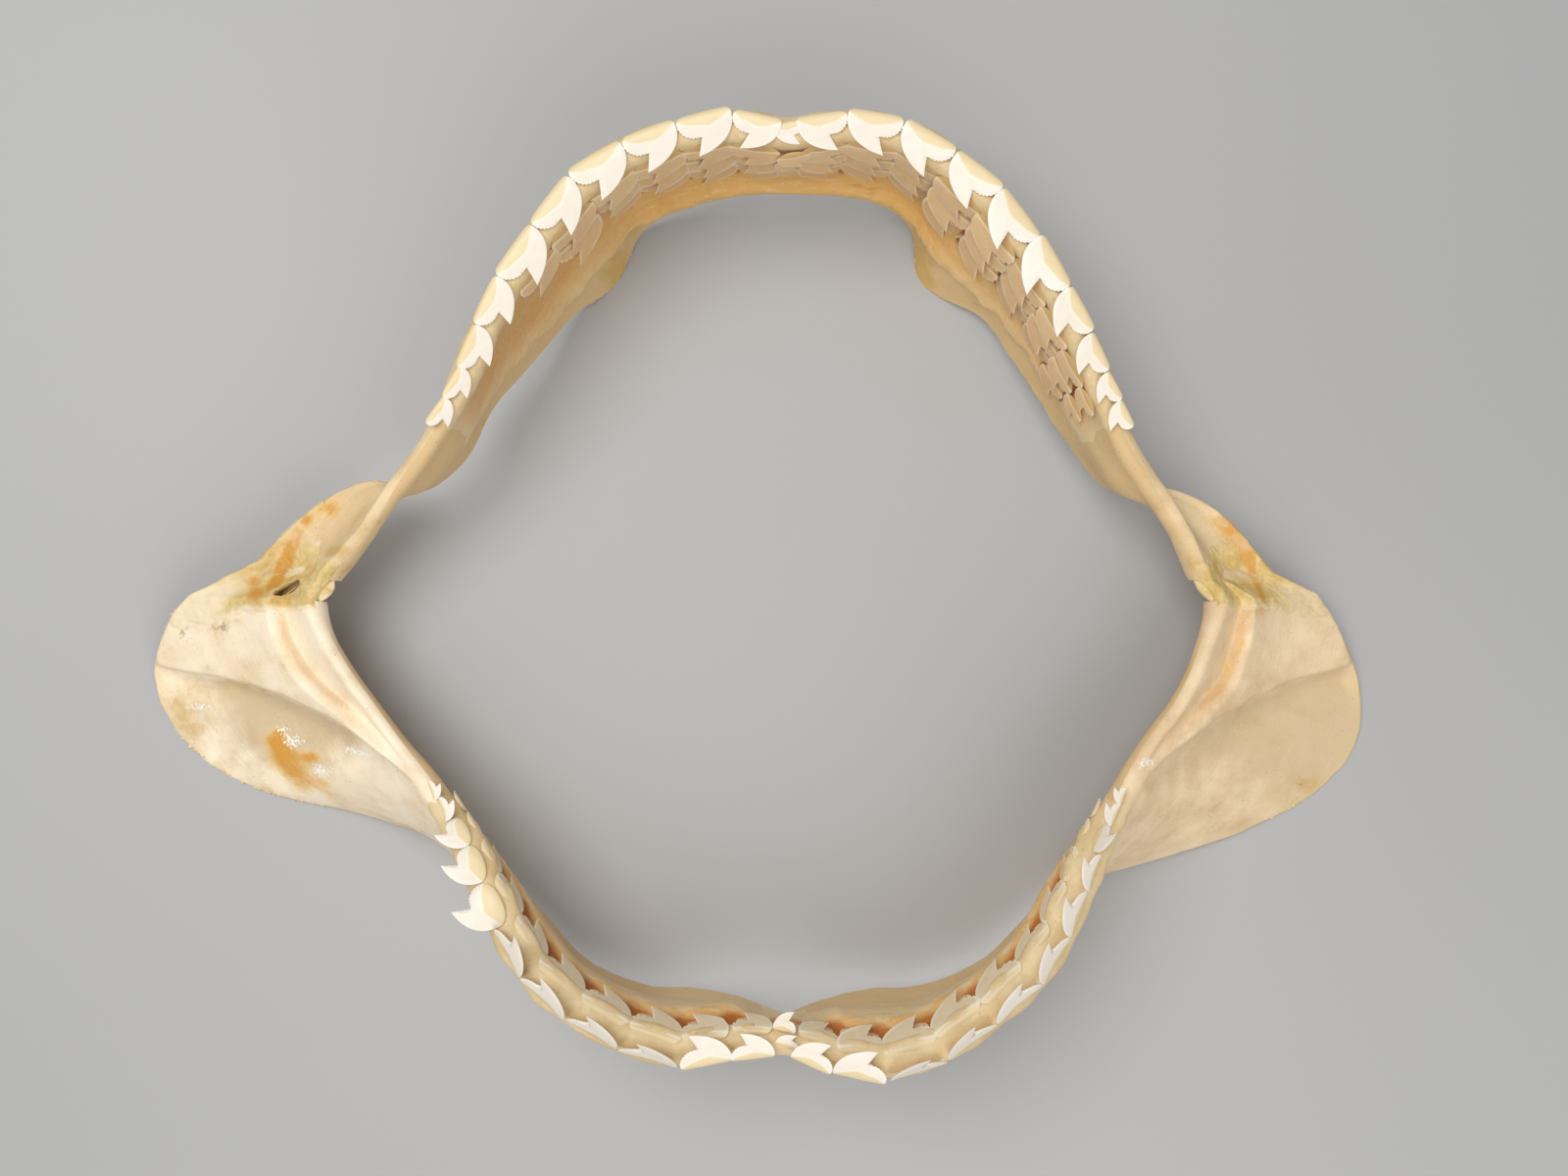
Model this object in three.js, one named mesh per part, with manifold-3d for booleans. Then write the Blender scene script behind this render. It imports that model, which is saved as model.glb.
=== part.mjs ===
// The dried jaws of a tiger shark, spread wide open and lying on their back edges, teeth up.
// Millimetres, +Z up. +Y points to the upper jaw and +X to the right of a viewer above.
// Each jaw is a pair of curved plates of cartilage that meet at the midline. A plate hangs from
// its biting edge, the crest, down to its back edge. In front, where it carries the teeth, it
// stands nearly upright. Towards the jaw joint it turns over outwards into a broad flat blade.

import * as THREE from "three";
import { mergeVertices } from "three/addons/utils/BufferGeometryUtils.js";
import Module from "manifold-3d";

const wasm = await Module();
wasm.setup();

// ---- Driving dimensions -------------------------------------------------------------------

const GAP = 0.35; // clearance between neighbouring solids
const MID_HALF = 5.8; // half the width of the median tissue between left and right
const CENTRE = new THREE.Vector2(8.8, 1.4); // brings the middle of the whole to the origin
const JOINT_DRIFT = 8.5; // how far the dried jaws have pulled sideways at the joints
const JOINT_DRIFT_SPAN = 52; // and over what distance from the joints that fades
const SNOUT_DRIFT = 1.8; // the same for the front of the upper jaw

// Stations along a half-jaw, from the symphysis (0) back to the joint. The crest and the back
// edge each have one point a station: x out from the midline, y, and z above the ground.
// A skew moves a right station by [x, y], and the left one by as much the other way.
const UPPER = {
  name: "upper",
  lingualSign: -1,
  crest: [
    [1.2, 144.8, 62],
    [20.5, 147.3, 62],
    [37, 144, 62],
    [53.5, 136.3, 62],
    [67.5, 124.7, 62],
    [82.5, 105.5, 61],
    [93, 87.5, 60],
    [102.5, 67.5, 56],
    [113.5, 48, 52],
    [122.5, 36, 48],
    [129, 26.5, 44],
    [136, 15.5, 40],
    [144.5, 2.5, 36],
  ],
  crestSkew: {
    3: [-3, 0],
    4: [-3, 0],
    5: [-2, 0],
    6: [-1, 0],
    7: [0.8, 0],
    8: [1.5, 0],
    9: [2.5, 0],
    10: [3.5, 0],
    11: [4, 0],
    12: [2, 0],
  },
  edge: [
    [1.2, 140, 14],
    [19.5, 138.5, 13],
    [33.5, 136.5, 9],
    [48.5, 129, 4],
    [56, 111, -0.8],
    [74, 97, 5],
    [85.5, 80.5, 11],
    [97.5, 63.5, 15],
    [107.5, 45.5, 18],
    [120, 34.5, 20],
    [138.5, 34.5, 22],
    [158, 25.5, 21],
    [176, 7.5, 19],
  ],
  edgeSkew: {
    3: [-4, 0],
    4: [-6.5, 0],
    5: [-3.2, 0],
    6: [-3.2, 0],
    7: [-3.4, 0],
    10: [1, -2],
    11: [1.5, -2],
    12: [2, -2],
  },
  crestHalf: [4.2, 4.2, 3.8, 3.4, 4.2], // half thickness, evenly spaced along the jaw
  middleHalf: [3.4, 3.2, 3, 2.8, 3],
  edgeHalf: [1.8, 1.8, 1.6, 1.4, 2.2],
  bow: [-3, -3.5, -2.5, 0.5, 3.5], // how far the plate's middle bows towards the tongue
  bandEnd: 8.25, // station where the tooth band ends
  bandThick: 2.4,
  bandRows: 6, // how many of a section's depths the band covers on the tongue's side
};
const LOWER = {
  name: "lower",
  lingualSign: 1,
  crest: [
    [1.2, -144, 62],
    [17, -147, 63],
    [33, -148.5, 64],
    [50, -143.5, 64],
    [70.5, -130, 64],
    [83, -117, 62],
    [93, -98.5, 59],
    [101.5, -80.5, 55],
    [112, -64, 50],
    [122, -51, 46],
    [132, -39, 42],
    [139, -29, 40],
    [145, -18, 38],
    [148, -10.5, 37],
    [149.5, -4.5, 36],
  ],
  crestSkew: {
    1: [0, -2],
    2: [0, -2],
    3: [0, -1.5],
    10: [1.5, 0],
    11: [2, 0],
    12: [2, 0],
    13: [2.2, 0],
    14: [2.4, 0],
  },
  edge: [
    [1.2, -146, 30],
    [15.5, -144, 18],
    [32, -142.5, 12],
    [48.5, -142, 10],
    [70, -134, 8],
    [84, -121, 6],
    [102, -103, 5],
    [121, -94.5, 4],
    [151.5, -86.5, 1],
    [177, -79.5, -0.6],
    [198, -69, -0.8],
    [212, -54, -0.6],
    [216, -34, 1.5],
    [209, -15, 6],
    [198, -2.5, 11],
  ],
  edgeSkew: {
    5: [0, -1],
    6: [-4, -5],
    7: [-6, -7],
    8: [-2.8, -6.5],
    9: [-3.1, -4.5],
    10: [-2.3, -2.5],
    11: [-3, -1.5],
    12: [-4, 0],
    13: [-3.5, 0],
    14: [-2.5, 0.5],
  },
  crestHalf: [4.2, 4.8, 4.6, 4, 4.8],
  middleHalf: [3.8, 3.8, 3.4, 2.6, 3],
  edgeHalf: [2, 2, 1.8, 1.6, 2],
  bow: [-1, -2, -1, 5, 4],
  bandEnd: 8.25,
  bandThick: 2.6,
  bandRows: 5,
};

// Tooth widths from the midline back. A median tooth stands between the two sides.
const UPPER_TEETH = {
  start: 1.5,
  widths: [15.7, 17.5, 18, 18.5, 19, 18.5, 16.4, 14, 10.7, 10],
  median: 10.3,
};
const LOWER_TEETH = {
  start: 2,
  widths: [13.5, 16.5, 18.5, 18.5, 18, 16.5, 15, 12.5, 10, 8, 6],
  median: 8,
};
const LOWER_MEDIAN_LEAN = -55; // the single lower tooth at the midline leans up and back

// A cockscomb tooth, one unit wide: x runs from the midline side (0) to the joint side (1), and
// y from the root up. The long cutting edge bulges, the cusp leans back, and a notch parts it
// from a low heel.
const TOOTH_OUTLINE = [
  [0.1, -0.08],
  [-0.02, 0.13],
  [0.1, 0.42],
  [0.4, 0.58],
  [0.7, 0.66],
  [0.61, 0.38],
  [0.98, 0.06],
  [0.9, -0.08],
];
const TOOTH_HEART = [0.46, 0.14];
const TOOTH_HALF_THICK = 0.08;

// Rows of teeth: depth below the crest, distance out from the plate's mid-surface or from its
// face, and lean, which is 0 towards the tongue, 90 down the plate, -90 up and 180 towards the
// lips. The count is how many teeth of the second row stand clear on each side.
const UPPER_ROWS = {
  front: { depth: -2.6, out: -2.4, lean: 20, size: 1 },
  second: { depth: 13, out: 2.5, onFace: true, lean: 74, size: 0.95, count: 7 },
};
const LOWER_ROWS = {
  front: { depth: -0.4, out: -2.8, lean: -72, size: 1 },
  second: { depth: -1.6, out: 2.9, lean: -86, size: 0.92, count: 7 },
};
// Lower front-row teeth that stand their own way, by their number from the midline.
const LOWER_LEANS = { 1: -30, 2: -32, 3: -84 };
const LEFT_TURNED_OUT = { 7: 176, 8: 174, 9: 172 }; // old teeth that are about to be shed

// ---- Small helpers --------------------------------------------------------------------------

const { lerp, smoothstep, clamp, degToRad } = THREE.MathUtils;
const bell = (x, centre, width) => Math.exp(-(((x - centre) / width) ** 2));

/** Reads a short list of values, evenly spaced over 0..1, at f. */
function along(values, f) {
  const x = clamp(f, 0, 1) * (values.length - 1);
  const i = Math.min(Math.floor(x), values.length - 2);
  return lerp(values[i], values[i + 1], smoothstep(x - i, 0, 1));
}

/** Sideways place of the jaws' midline at a given y. */
function midline(y) {
  return CENTRE.x - JOINT_DRIFT * bell(y, 0, JOINT_DRIFT_SPAN) + SNOUT_DRIFT * smoothstep(y, 60, 140);
}

/** Takes a point of a half-jaw to its side: +1 is right, -1 left. */
function toSide(point, side) {
  return new THREE.Vector3(side * point.x + midline(point.y), point.y + CENTRE.y, point.z);
}

function geometryOf(vertices, triangles) {
  const geometry = new THREE.BufferGeometry();
  geometry.setAttribute("position", new THREE.Float32BufferAttribute(vertices, 3));
  geometry.setIndex(triangles);
  return geometry;
}

function solidOf(geometry) {
  const bare = geometry.clone();
  bare.deleteAttribute("normal");
  bare.deleteAttribute("uv");
  const merged = mergeVertices(bare, 1e-4);
  const mesh = new wasm.Mesh({
    numProp: 3,
    vertProperties: new Float32Array(merged.attributes.position.array),
    triVerts: new Uint32Array(merged.index.array),
  });
  return new wasm.Manifold(mesh);
}

/** The biggest connected piece of a solid, without the slivers that a cut leaves. */
function mainPiece(solid) {
  const pieces = solid.decompose();
  return pieces.reduce((best, piece) => (piece.volume() > best.volume() ? piece : best));
}

function box(width, depth, height, x, y, z) {
  return solidOf(new THREE.BoxGeometry(width, depth, height).translate(x, y, z));
}

/**
 * Sweeps sections into a closed solid, each quad split along its shorter diagonal. A section
 * runs along one face and back along the other, so a cap is a strip between its two halves.
 */
function sweep(sections, side, lingualSign) {
  const n = sections[0].length;
  const points = sections.flat();
  const vertices = points.flatMap((point) => toSide(point, side).toArray());
  const triangles = [];
  const flip = lingualSign < 0 === side > 0;
  const add = (a, b, c) => triangles.push(...(flip ? [a, c, b] : [a, b, c]));
  for (let i = 0; i + 1 < sections.length; i++) {
    for (let j = 0; j < n; j++) {
      const k = (j + 1) % n;
      const [a, b, c, d] = [i * n + j, (i + 1) * n + j, (i + 1) * n + k, i * n + k];
      if (points[a].distanceTo(points[c]) < points[b].distanceTo(points[d])) {
        add(a, b, c);
        add(a, c, d);
      } else {
        add(a, b, d);
        add(b, c, d);
      }
    }
  }
  const end = (sections.length - 1) * n;
  for (let j = 0; j + 1 < n / 2; j++) {
    const [a, b, c, d] = [j, j + 1, n - 1 - j, n - 2 - j];
    if (b < d) {
      add(a, b, d);
      add(end + a, end + d, end + b);
    }
    add(a, d, c);
    add(end + a, end + c, end + d);
  }
  return solidOf(geometryOf(vertices, triangles));
}

// ---- The plate of a half-jaw ------------------------------------------------------------------

/** The smooth curve through a list of stations, with the skew of its side. */
function stationCurve(points, skews, side) {
  const skewed = points.map(([x, y, z], i) => {
    const [dx, dy] = skews[i] ?? [0, 0];
    return new THREE.Vector3(x + side * dx, y + side * dy, z);
  });
  return new THREE.CatmullRomCurve3(skewed, false, "catmullrom", 0.5);
}

/** One half of the upper or lower jaw, as its two guiding curves. */
function halfJaw(jaw, side) {
  return {
    ...jaw,
    side,
    last: jaw.crest.length - 1,
    crestCurve: stationCurve(jaw.crest, jaw.crestSkew, side),
    edgeCurve: stationCurve(jaw.edge, jaw.edgeSkew, side),
  };
}

/** The local frame at station q: crest point, tangent, down the plate, and towards the tongue. */
function frameAt(half, q) {
  const f = clamp(q / half.last, 0, 1);
  const crest = half.crestCurve.getPoint(f);
  const tangent = half.crestCurve.getTangent(f);
  const down = half.edgeCurve.getPoint(f).sub(crest);
  const height = down.length();
  down.normalize();
  const lingual = tangent.clone().cross(down).normalize().multiplyScalar(half.lingualSign);
  return { q, f, crest, tangent, down, lingual, height };
}

/** A point of a frame: a below the crest, b towards the tongue. */
function pointAt(frame, a, b) {
  return frame.crest.clone().addScaledVector(frame.down, a).addScaledVector(frame.lingual, b);
}

const fullness = (share) => Math.sqrt(Math.max(0, 1 - (1 - Math.min(share, 1)) ** 2));

/** Half the plate's thickness at a depth a, with a swelling at the joint. */
function halfThickness(half, frame, a) {
  const crest = along(half.crestHalf, frame.f);
  const middle = along(half.middleHalf, frame.f);
  const edge = along(half.edgeHalf, frame.f);
  const s = a / frame.height;
  const plain = s < 0.45 ? lerp(crest, middle, s / 0.45) : lerp(middle, edge, (s - 0.45) / 0.55);
  const knob = 3.2 * bell(frame.q, half.last - 0.2, 0.9) * bell(s, 0.25, 0.3);
  return (plain + knob) * fullness(a / crest) * fullness((frame.height - a) / edge);
}

/** How far the plate's mid-surface lies towards the tongue, at a share s of its height. */
function bowAt(half, frame, s) {
  return along(half.bow, frame.f) * Math.sin(Math.PI * clamp(s, 0, 1));
}

/** Share of the height at which the outer face's ridge runs: from the crest out to mid-blade. */
const bladeShare = (half, frame) => clamp((frame.q - half.last + 6.2) / 6.2, 0, 1);
const ridgeAt = (half, frame) => 0.06 + 0.34 * bladeShare(half, frame) ** 0.8;

/** Ridge and hollows of the outer face, where the jaw muscles were fixed. */
function relief(half, frame, s) {
  const strength = smoothstep(bladeShare(half, frame), 0, 0.4) * Math.sin(Math.PI * clamp(s, 0, 1));
  if (half.name === "upper") return strength * (1.6 * bell(s, 0.85, 0.15) - 1.4 * bell(s, 0.5, 0.25));
  const ridge = ridgeAt(half, frame);
  return strength * (3.4 * bell(s, ridge, 0.07) - 1.8 * bell(s, 0.5 * ridge, 0.07) - bell(s, 0.65, 0.15));
}

/** Offset of the plate's skin from its mid-plane: face +1 is the tongue's side, -1 the lips'. */
function skinAt(half, frame, a, face) {
  const s = a / frame.height;
  const thick = halfThickness(half, frame, a) + (face < 0 ? relief(half, frame, s) : 0);
  return bowAt(half, frame, s) + face * Math.max(0.3, thick);
}

/** Depths at which a section has its points. On a blade they gather at the ridge. */
function sectionDepths(half, frame) {
  const h = frame.height;
  const crest = along(half.crestHalf, frame.f);
  const edge = along(half.edgeHalf, frame.f);
  const share = smoothstep(bladeShare(half, frame), 0, 0.4);
  const ridge = ridgeAt(half, frame);
  const shares = [
    lerp(0.22, 0.55 * ridge, share),
    lerp(0.36, ridge, share),
    lerp(0.52, ridge + 0.12, share),
    0.7,
    0.86,
  ];
  return [0.35 * crest, crest, ...shares.map((s) => s * h), h - 0.35 * edge];
}

/** The outline of the plate at a station, grown outwards by grow. */
function plateSection(half, frame, grow) {
  const depths = sectionDepths(half, frame);
  const tongue = depths.map((a) => pointAt(frame, a, skinAt(half, frame, a, 1) + grow));
  const lips = depths.map((a) => pointAt(frame, a, skinAt(half, frame, a, -1) - grow));
  const top = pointAt(frame, -grow, 0);
  const bottom = pointAt(frame, frame.height + grow, 0);
  return [top, ...tongue, bottom, ...lips.reverse()];
}

/** Stations where sections are cut: closer together where the blade fans out. */
function cutStations(last) {
  const list = [];
  for (let q = 0; q < last - 4.6; q += 0.75) list.push(q);
  for (let q = last - 4; q <= last; q += 0.5) list.push(q);
  return list;
}

/** One half of the upper or lower jaw's cartilage, grown outwards by grow. */
function plate(half, grow = 0) {
  const sections = cutStations(half.last).map((q) => plateSection(half, frameAt(half, q), grow));
  if (grow > 0) {
    const { tangent } = frameAt(half, half.last);
    sections.unshift(sections[0].map((p) => p.clone().setX(p.x - grow)));
    sections.push(sections.at(-1).map((p) => p.clone().addScaledVector(tangent, grow)));
  }
  return sweep(sections, half.side, half.lingualSign);
}

// ---- Teeth ------------------------------------------------------------------------------------

/** A tooth as a flat double pyramid over its outline. */
function tooth(width, base, across, tip, side, stretch = 1) {
  const face = across.clone().cross(tip).normalize();
  const at = (x, y, z) =>
    base
      .clone()
      .addScaledVector(across, (x - 0.5) * width)
      .addScaledVector(tip, y * width * stretch)
      .addScaledVector(face, z * width);
  const points = TOOTH_OUTLINE.map(([x, y]) => at(x, y, 0));
  points.push(at(...TOOTH_HEART, TOOTH_HALF_THICK), at(...TOOTH_HEART, -TOOTH_HALF_THICK));
  const n = TOOTH_OUTLINE.length;
  const triangles = [];
  for (let i = 0; i < n; i++) {
    const k = (i + 1) % n;
    const faces = side > 0 ? [i, n, k, k, n + 1, i] : [k, n, i, i, n + 1, k];
    triangles.push(...faces);
  }
  const vertices = points.flatMap((point) => toSide(point, side).toArray());
  return solidOf(geometryOf(vertices, triangles));
}

/** Directions of a tooth at a frame, from its lean. */
function toothAxes(frame, leanDegrees) {
  const lean = degToRad(leanDegrees);
  const tip = frame.lingual.clone().multiplyScalar(Math.cos(lean));
  tip.addScaledVector(frame.down, Math.sin(lean));
  const across = frame.tangent.clone().addScaledVector(tip, -frame.tangent.dot(tip)).normalize();
  return { tip, across };
}

/** The station of each tooth: the crest's length is shared out by the teeth's widths. */
function toothFiles(half, teeth) {
  const steps = 600;
  const lengths = half.crestCurve.getLengths(steps);
  let reach = teeth.start;
  return teeth.widths.map((width) => {
    const centre = reach + width / 2;
    reach += width;
    const i = lengths.findIndex((length) => length >= centre);
    return { width, q: (i / steps) * half.last };
  });
}

function rowTooth(half, file, row) {
  const frame = frameAt(half, file.q);
  const surface = row.onFace ? skinAt(half, frame, row.depth, 1) : 0;
  const base = pointAt(frame, row.depth, surface + row.out);
  const { tip, across } = toothAxes(frame, row.lean);
  return tooth(file.width * row.size, base, across, tip, half.side, row.stretch);
}

/** The front row's own lean at a tooth's number from the midline. */
function frontRow(half, number, row) {
  if (half.name === "upper") return row;
  const turned = half.side < 0 ? LEFT_TURNED_OUT[number] : undefined;
  if (turned !== undefined) return { ...row, lean: turned, depth: 1.6, out: -5.4, stretch: 1.3 };
  return { ...row, lean: LOWER_LEANS[number] ?? row.lean };
}

/** The gum over the crest and the inner face, with the teeth that grow from it. */
function toothBand(half, teeth, rows) {
  const sections = cutStations(half.last)
    .filter((q) => q <= half.bandEnd)
    .map((q) => {
      const frame = frameAt(half, q);
      const thick = half.bandThick * (1 - 0.4 * smoothstep(q, half.bandEnd - 1.6, half.bandEnd));
      const depths = sectionDepths(half, frame);
      const lips = depths.slice(0, 2).reverse();
      const tongue = depths.slice(0, half.bandRows);
      const layer = (extra, top) => [
        ...lips.map((a, i) => pointAt(frame, a, skinAt(half, frame, a, -1) - extra[i])),
        pointAt(frame, -top, 0),
        ...tongue.map((a, i) => pointAt(frame, a, skinAt(half, frame, a, 1) + extra[i + 2])),
      ];
      const shares = [0.5, 0.7, 0.8, 0.9, ...Array(half.bandRows - 3).fill(1), 0.5];
      const outer = layer(shares.map((share) => share * thick), thick);
      const inner = layer(shares.map(() => GAP), GAP);
      return [...outer, ...inner.reverse()];
    });
  let band = sweep(sections, half.side, half.lingualSign);
  toothFiles(half, teeth).forEach((file, i) => {
    band = band.add(rowTooth(half, file, frontRow(half, i + 1, rows.front)));
    if (i < rows.second.count) band = band.add(rowTooth(half, file, rows.second));
  });
  return mainPiece(band.subtract(middle(half, MID_HALF)));
}

// ---- Tissue at the midline and at the joints ----------------------------------------------------

/** The space at a symphysis that belongs to the median tissue. */
function middle(half, halfWidth) {
  const y = half.crest[0][1];
  return box(2 * halfWidth, 70, 160, midline(y), y + CENTRE.y, 50);
}

/** The median tissue of a jaw, with its single median tooth. */
function symphysis(jaw, teeth, row) {
  const right = halfJaw(jaw, 1);
  const left = halfJaw(jaw, -1);
  const frame = frameAt(right, 0);
  const h = frame.height;
  const depths = [4, 0.3 * h, 0.6 * h, 0.97 * h];
  const sections = [-1, 1].map((end) => {
    const place = (a, b) => pointAt(frame, a, b).setX(end * MID_HALF);
    return [
      place(-jaw.bandThick, 0.1),
      ...depths.map((a) => place(a, skinAt(right, frame, a, 1) + 0.8 * jaw.bandThick)),
      ...depths.map((a) => place(a, skinAt(right, frame, a, -1) - 0.5 * jaw.bandThick)).reverse(),
      place(-jaw.bandThick, -0.1),
    ];
  });
  const { tip } = toothAxes(frame, row.lean);
  const base = pointAt(frame, row.depth, row.out).setX(0);
  const median = tooth(teeth.median, base, new THREE.Vector3(1, 0, 0), tip, 1);
  const whole = sweep(sections, 1, jaw.lingualSign).add(median);
  const trimmed = whole.intersect(middle(jaw, MID_HALF - GAP));
  return mainPiece(trimmed.subtract(plate(right, GAP)).subtract(plate(left, GAP)));
}

/** The dried capsule of the jaw joint: a flat sleeve over the ends of both plates. */
function jointCapsule(side) {
  const upper = halfJaw(UPPER, side);
  const lower = halfJaw(LOWER, side);
  const above = frameAt(upper, upper.last);
  const below = frameAt(lower, lower.last);
  const corners = 8;
  const sections = [];
  for (let s = -0.06; s <= 1.02; s += 0.18) {
    const top = pointAt(above, s * above.height, bowAt(upper, above, s));
    const foot = pointAt(below, s * below.height, bowAt(lower, below, s));
    const centre = top.clone().add(foot).multiplyScalar(0.5);
    const reach = foot.clone().sub(top);
    const halfWidth = (reach.length() / 2 + 6.5) * (0.55 + 0.45 * Math.sin(Math.PI * clamp(s, 0.05, 0.9)));
    const normal = above.lingual.clone().add(below.lingual).normalize();
    const halfThick = 3 + 4.6 * Math.sin(Math.PI * clamp(0.12 + 0.76 * s, 0, 1));
    reach.normalize();
    const section = [];
    for (let j = 0; j < corners; j++) {
      const angle = (2 * Math.PI * (j + 0.5)) / corners;
      section.push(
        centre
          .clone()
          .addScaledVector(reach, halfWidth * Math.cos(angle))
          .addScaledVector(normal, halfThick * Math.sin(angle)),
      );
    }
    sections.push(section);
  }
  const whole = sweep(sections, side, -1);
  return mainPiece(whole.subtract(plate(upper, GAP)).subtract(plate(lower, GAP)));
}

// ---- Putting the pieces together ------------------------------------------------------------------

const ground = box(700, 600, 60, 0, 0, -30); // the lowest rims are worn flat where they rest
const group = new THREE.Group();

function addNode(name, solid, color, roughness) {
  const mesh = mainPiece(solid.subtract(ground)).getMesh();
  const positions = new Float32Array(mesh.numVert * 3);
  for (let i = 0; i < mesh.numVert; i++) {
    for (let k = 0; k < 3; k++) positions[i * 3 + k] = mesh.vertProperties[i * mesh.numProp + k];
  }
  const geometry = new THREE.BufferGeometry();
  geometry.setAttribute("position", new THREE.BufferAttribute(positions, 3));
  geometry.setIndex(new THREE.BufferAttribute(new Uint32Array(mesh.triVerts), 1));
  geometry.computeVertexNormals();
  const material = new THREE.MeshStandardMaterial({ color, roughness, metalness: 0 });
  const node = new THREE.Mesh(geometry, material);
  node.name = name;
  group.add(node);
}

const CARTILAGE = 0xe6d3a8;
const GUM = 0xd0a867;
const LIGAMENT = 0xc79a45;

for (const [side, word] of [
  [1, "right"],
  [-1, "left"],
]) {
  const upper = halfJaw(UPPER, side);
  const lower = halfJaw(LOWER, side);
  addNode(`upper_jaw_${word}`, plate(upper), CARTILAGE, 0.6);
  addNode(`lower_jaw_${word}`, plate(lower), CARTILAGE, 0.6);
  addNode(`upper_teeth_${word}`, toothBand(upper, UPPER_TEETH, UPPER_ROWS), GUM, 0.45);
  addNode(`lower_teeth_${word}`, toothBand(lower, LOWER_TEETH, LOWER_ROWS), GUM, 0.45);
  addNode(`joint_capsule_${word}`, jointCapsule(side), LIGAMENT, 0.5);
}
addNode("upper_symphysis", symphysis(UPPER, UPPER_TEETH, UPPER_ROWS.front), GUM, 0.45);
const lowerMedianRow = { ...LOWER_ROWS.front, lean: LOWER_MEDIAN_LEAN };
addNode("lower_symphysis", symphysis(LOWER, LOWER_TEETH, lowerMedianRow), GUM, 0.45);

export default group;
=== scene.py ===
# %% [markdown]
# # The dried jaws of a tiger shark
#
# A shark's jaws are four bars of cartilage: a left and a right one above, and the same below.
# Ligaments tie them together at the front and at the jaw joints, and rows of teeth sit in
# dried gum along their biting edges. This lesson builds the fine surface of all that around
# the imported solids, which give the frame: +Z up, +Y towards the upper jaw.

import random
from types import SimpleNamespace

import bmesh
import bpy
import numpy as np
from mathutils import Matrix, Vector, noise


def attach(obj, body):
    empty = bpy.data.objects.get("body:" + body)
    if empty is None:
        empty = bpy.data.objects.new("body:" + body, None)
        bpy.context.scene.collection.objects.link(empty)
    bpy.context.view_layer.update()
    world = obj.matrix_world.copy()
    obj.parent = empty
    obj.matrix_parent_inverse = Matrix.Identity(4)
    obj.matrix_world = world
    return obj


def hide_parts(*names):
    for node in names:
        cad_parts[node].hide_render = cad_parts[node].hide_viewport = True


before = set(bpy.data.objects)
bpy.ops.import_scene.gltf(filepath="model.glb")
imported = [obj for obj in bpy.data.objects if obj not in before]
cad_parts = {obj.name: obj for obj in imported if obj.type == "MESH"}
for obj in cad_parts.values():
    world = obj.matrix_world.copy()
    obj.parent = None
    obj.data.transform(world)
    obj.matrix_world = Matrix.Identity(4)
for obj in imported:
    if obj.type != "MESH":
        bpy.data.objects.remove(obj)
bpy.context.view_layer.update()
MM = 0.001  # the shapes below are worked out in millimetres
print("packed nodes:", len(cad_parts))

# %% [markdown]
# ## Numbers that bend softly
#
# Organic forms have few straight lines, so most sizes here fade from one value to the next.
# A smooth step, a bell and a short list of values read along the jaw are enough for that.
# All three work on whole arrays, because a fine surface has tens of thousands of points.

# %% Helpers for soft changes


def smooth(x, low=0.0, high=1.0):
    t = np.clip((x - low) / (high - low), 0, 1)
    return t * t * (3 - 2 * t)


def bell(x, centre, width):
    return np.exp(-(((x - centre) / width) ** 2))


def mix(a, b, share):
    return a + (b - a) * share


def along(values, share):
    """Reads a short list of values, evenly spaced over 0 to 1."""
    values = np.asarray(values, float)
    x = np.clip(share, 0, 1) * (len(values) - 1)
    i = np.minimum(x.astype(int), len(values) - 2)
    return mix(values[i], values[i + 1], smooth(x - i))


def unit(vectors):
    return vectors / np.linalg.norm(vectors, axis=-1, keepdims=True)


def lumps(points, size, seed=0):
    """Soft random relief between -1 and 1, with lumps of about the given size."""
    shift = Vector((17.3, 9.1, 5.7)) * seed
    flat = points.reshape(-1, 3) / size
    values = [noise.noise(Vector(p) + shift) for p in flat]
    return np.array(values).reshape(points.shape[:-1])


def lumps_along(length, size, shift, seed):
    """The same relief for a rim, which varies only with the length along it."""
    line = np.stack([length, np.full_like(length, shift), np.zeros_like(length)], -1)
    return lumps(line, size, seed)


print("along a list:", along([0, 1, 4], np.array([0.0, 0.25, 0.5, 1.0])))
print("relief along a rim:", lumps_along(np.arange(4.0), 3, 0.5, 1).round(2))

# %% [markdown]
# ## Two curves guide each half-jaw
#
# A bar of jaw cartilage is a bent plate. One curve runs along its biting edge, the crest, and
# one along its back edge. In front the plate stands upright under the teeth, and towards the
# joint it turns over into a flat blade. Two curves describe that turn with few numbers, and
# every later surface - cartilage, gum, rows of teeth - is measured from the same two.
#
# Each curve is a short list of stations for the right half. The left one is its mirror image,
# apart from a skew for some stations, because no jaw dries evenly. Halves of the plate's
# thickness and its bow are short lists from the front to the joint.

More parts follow.
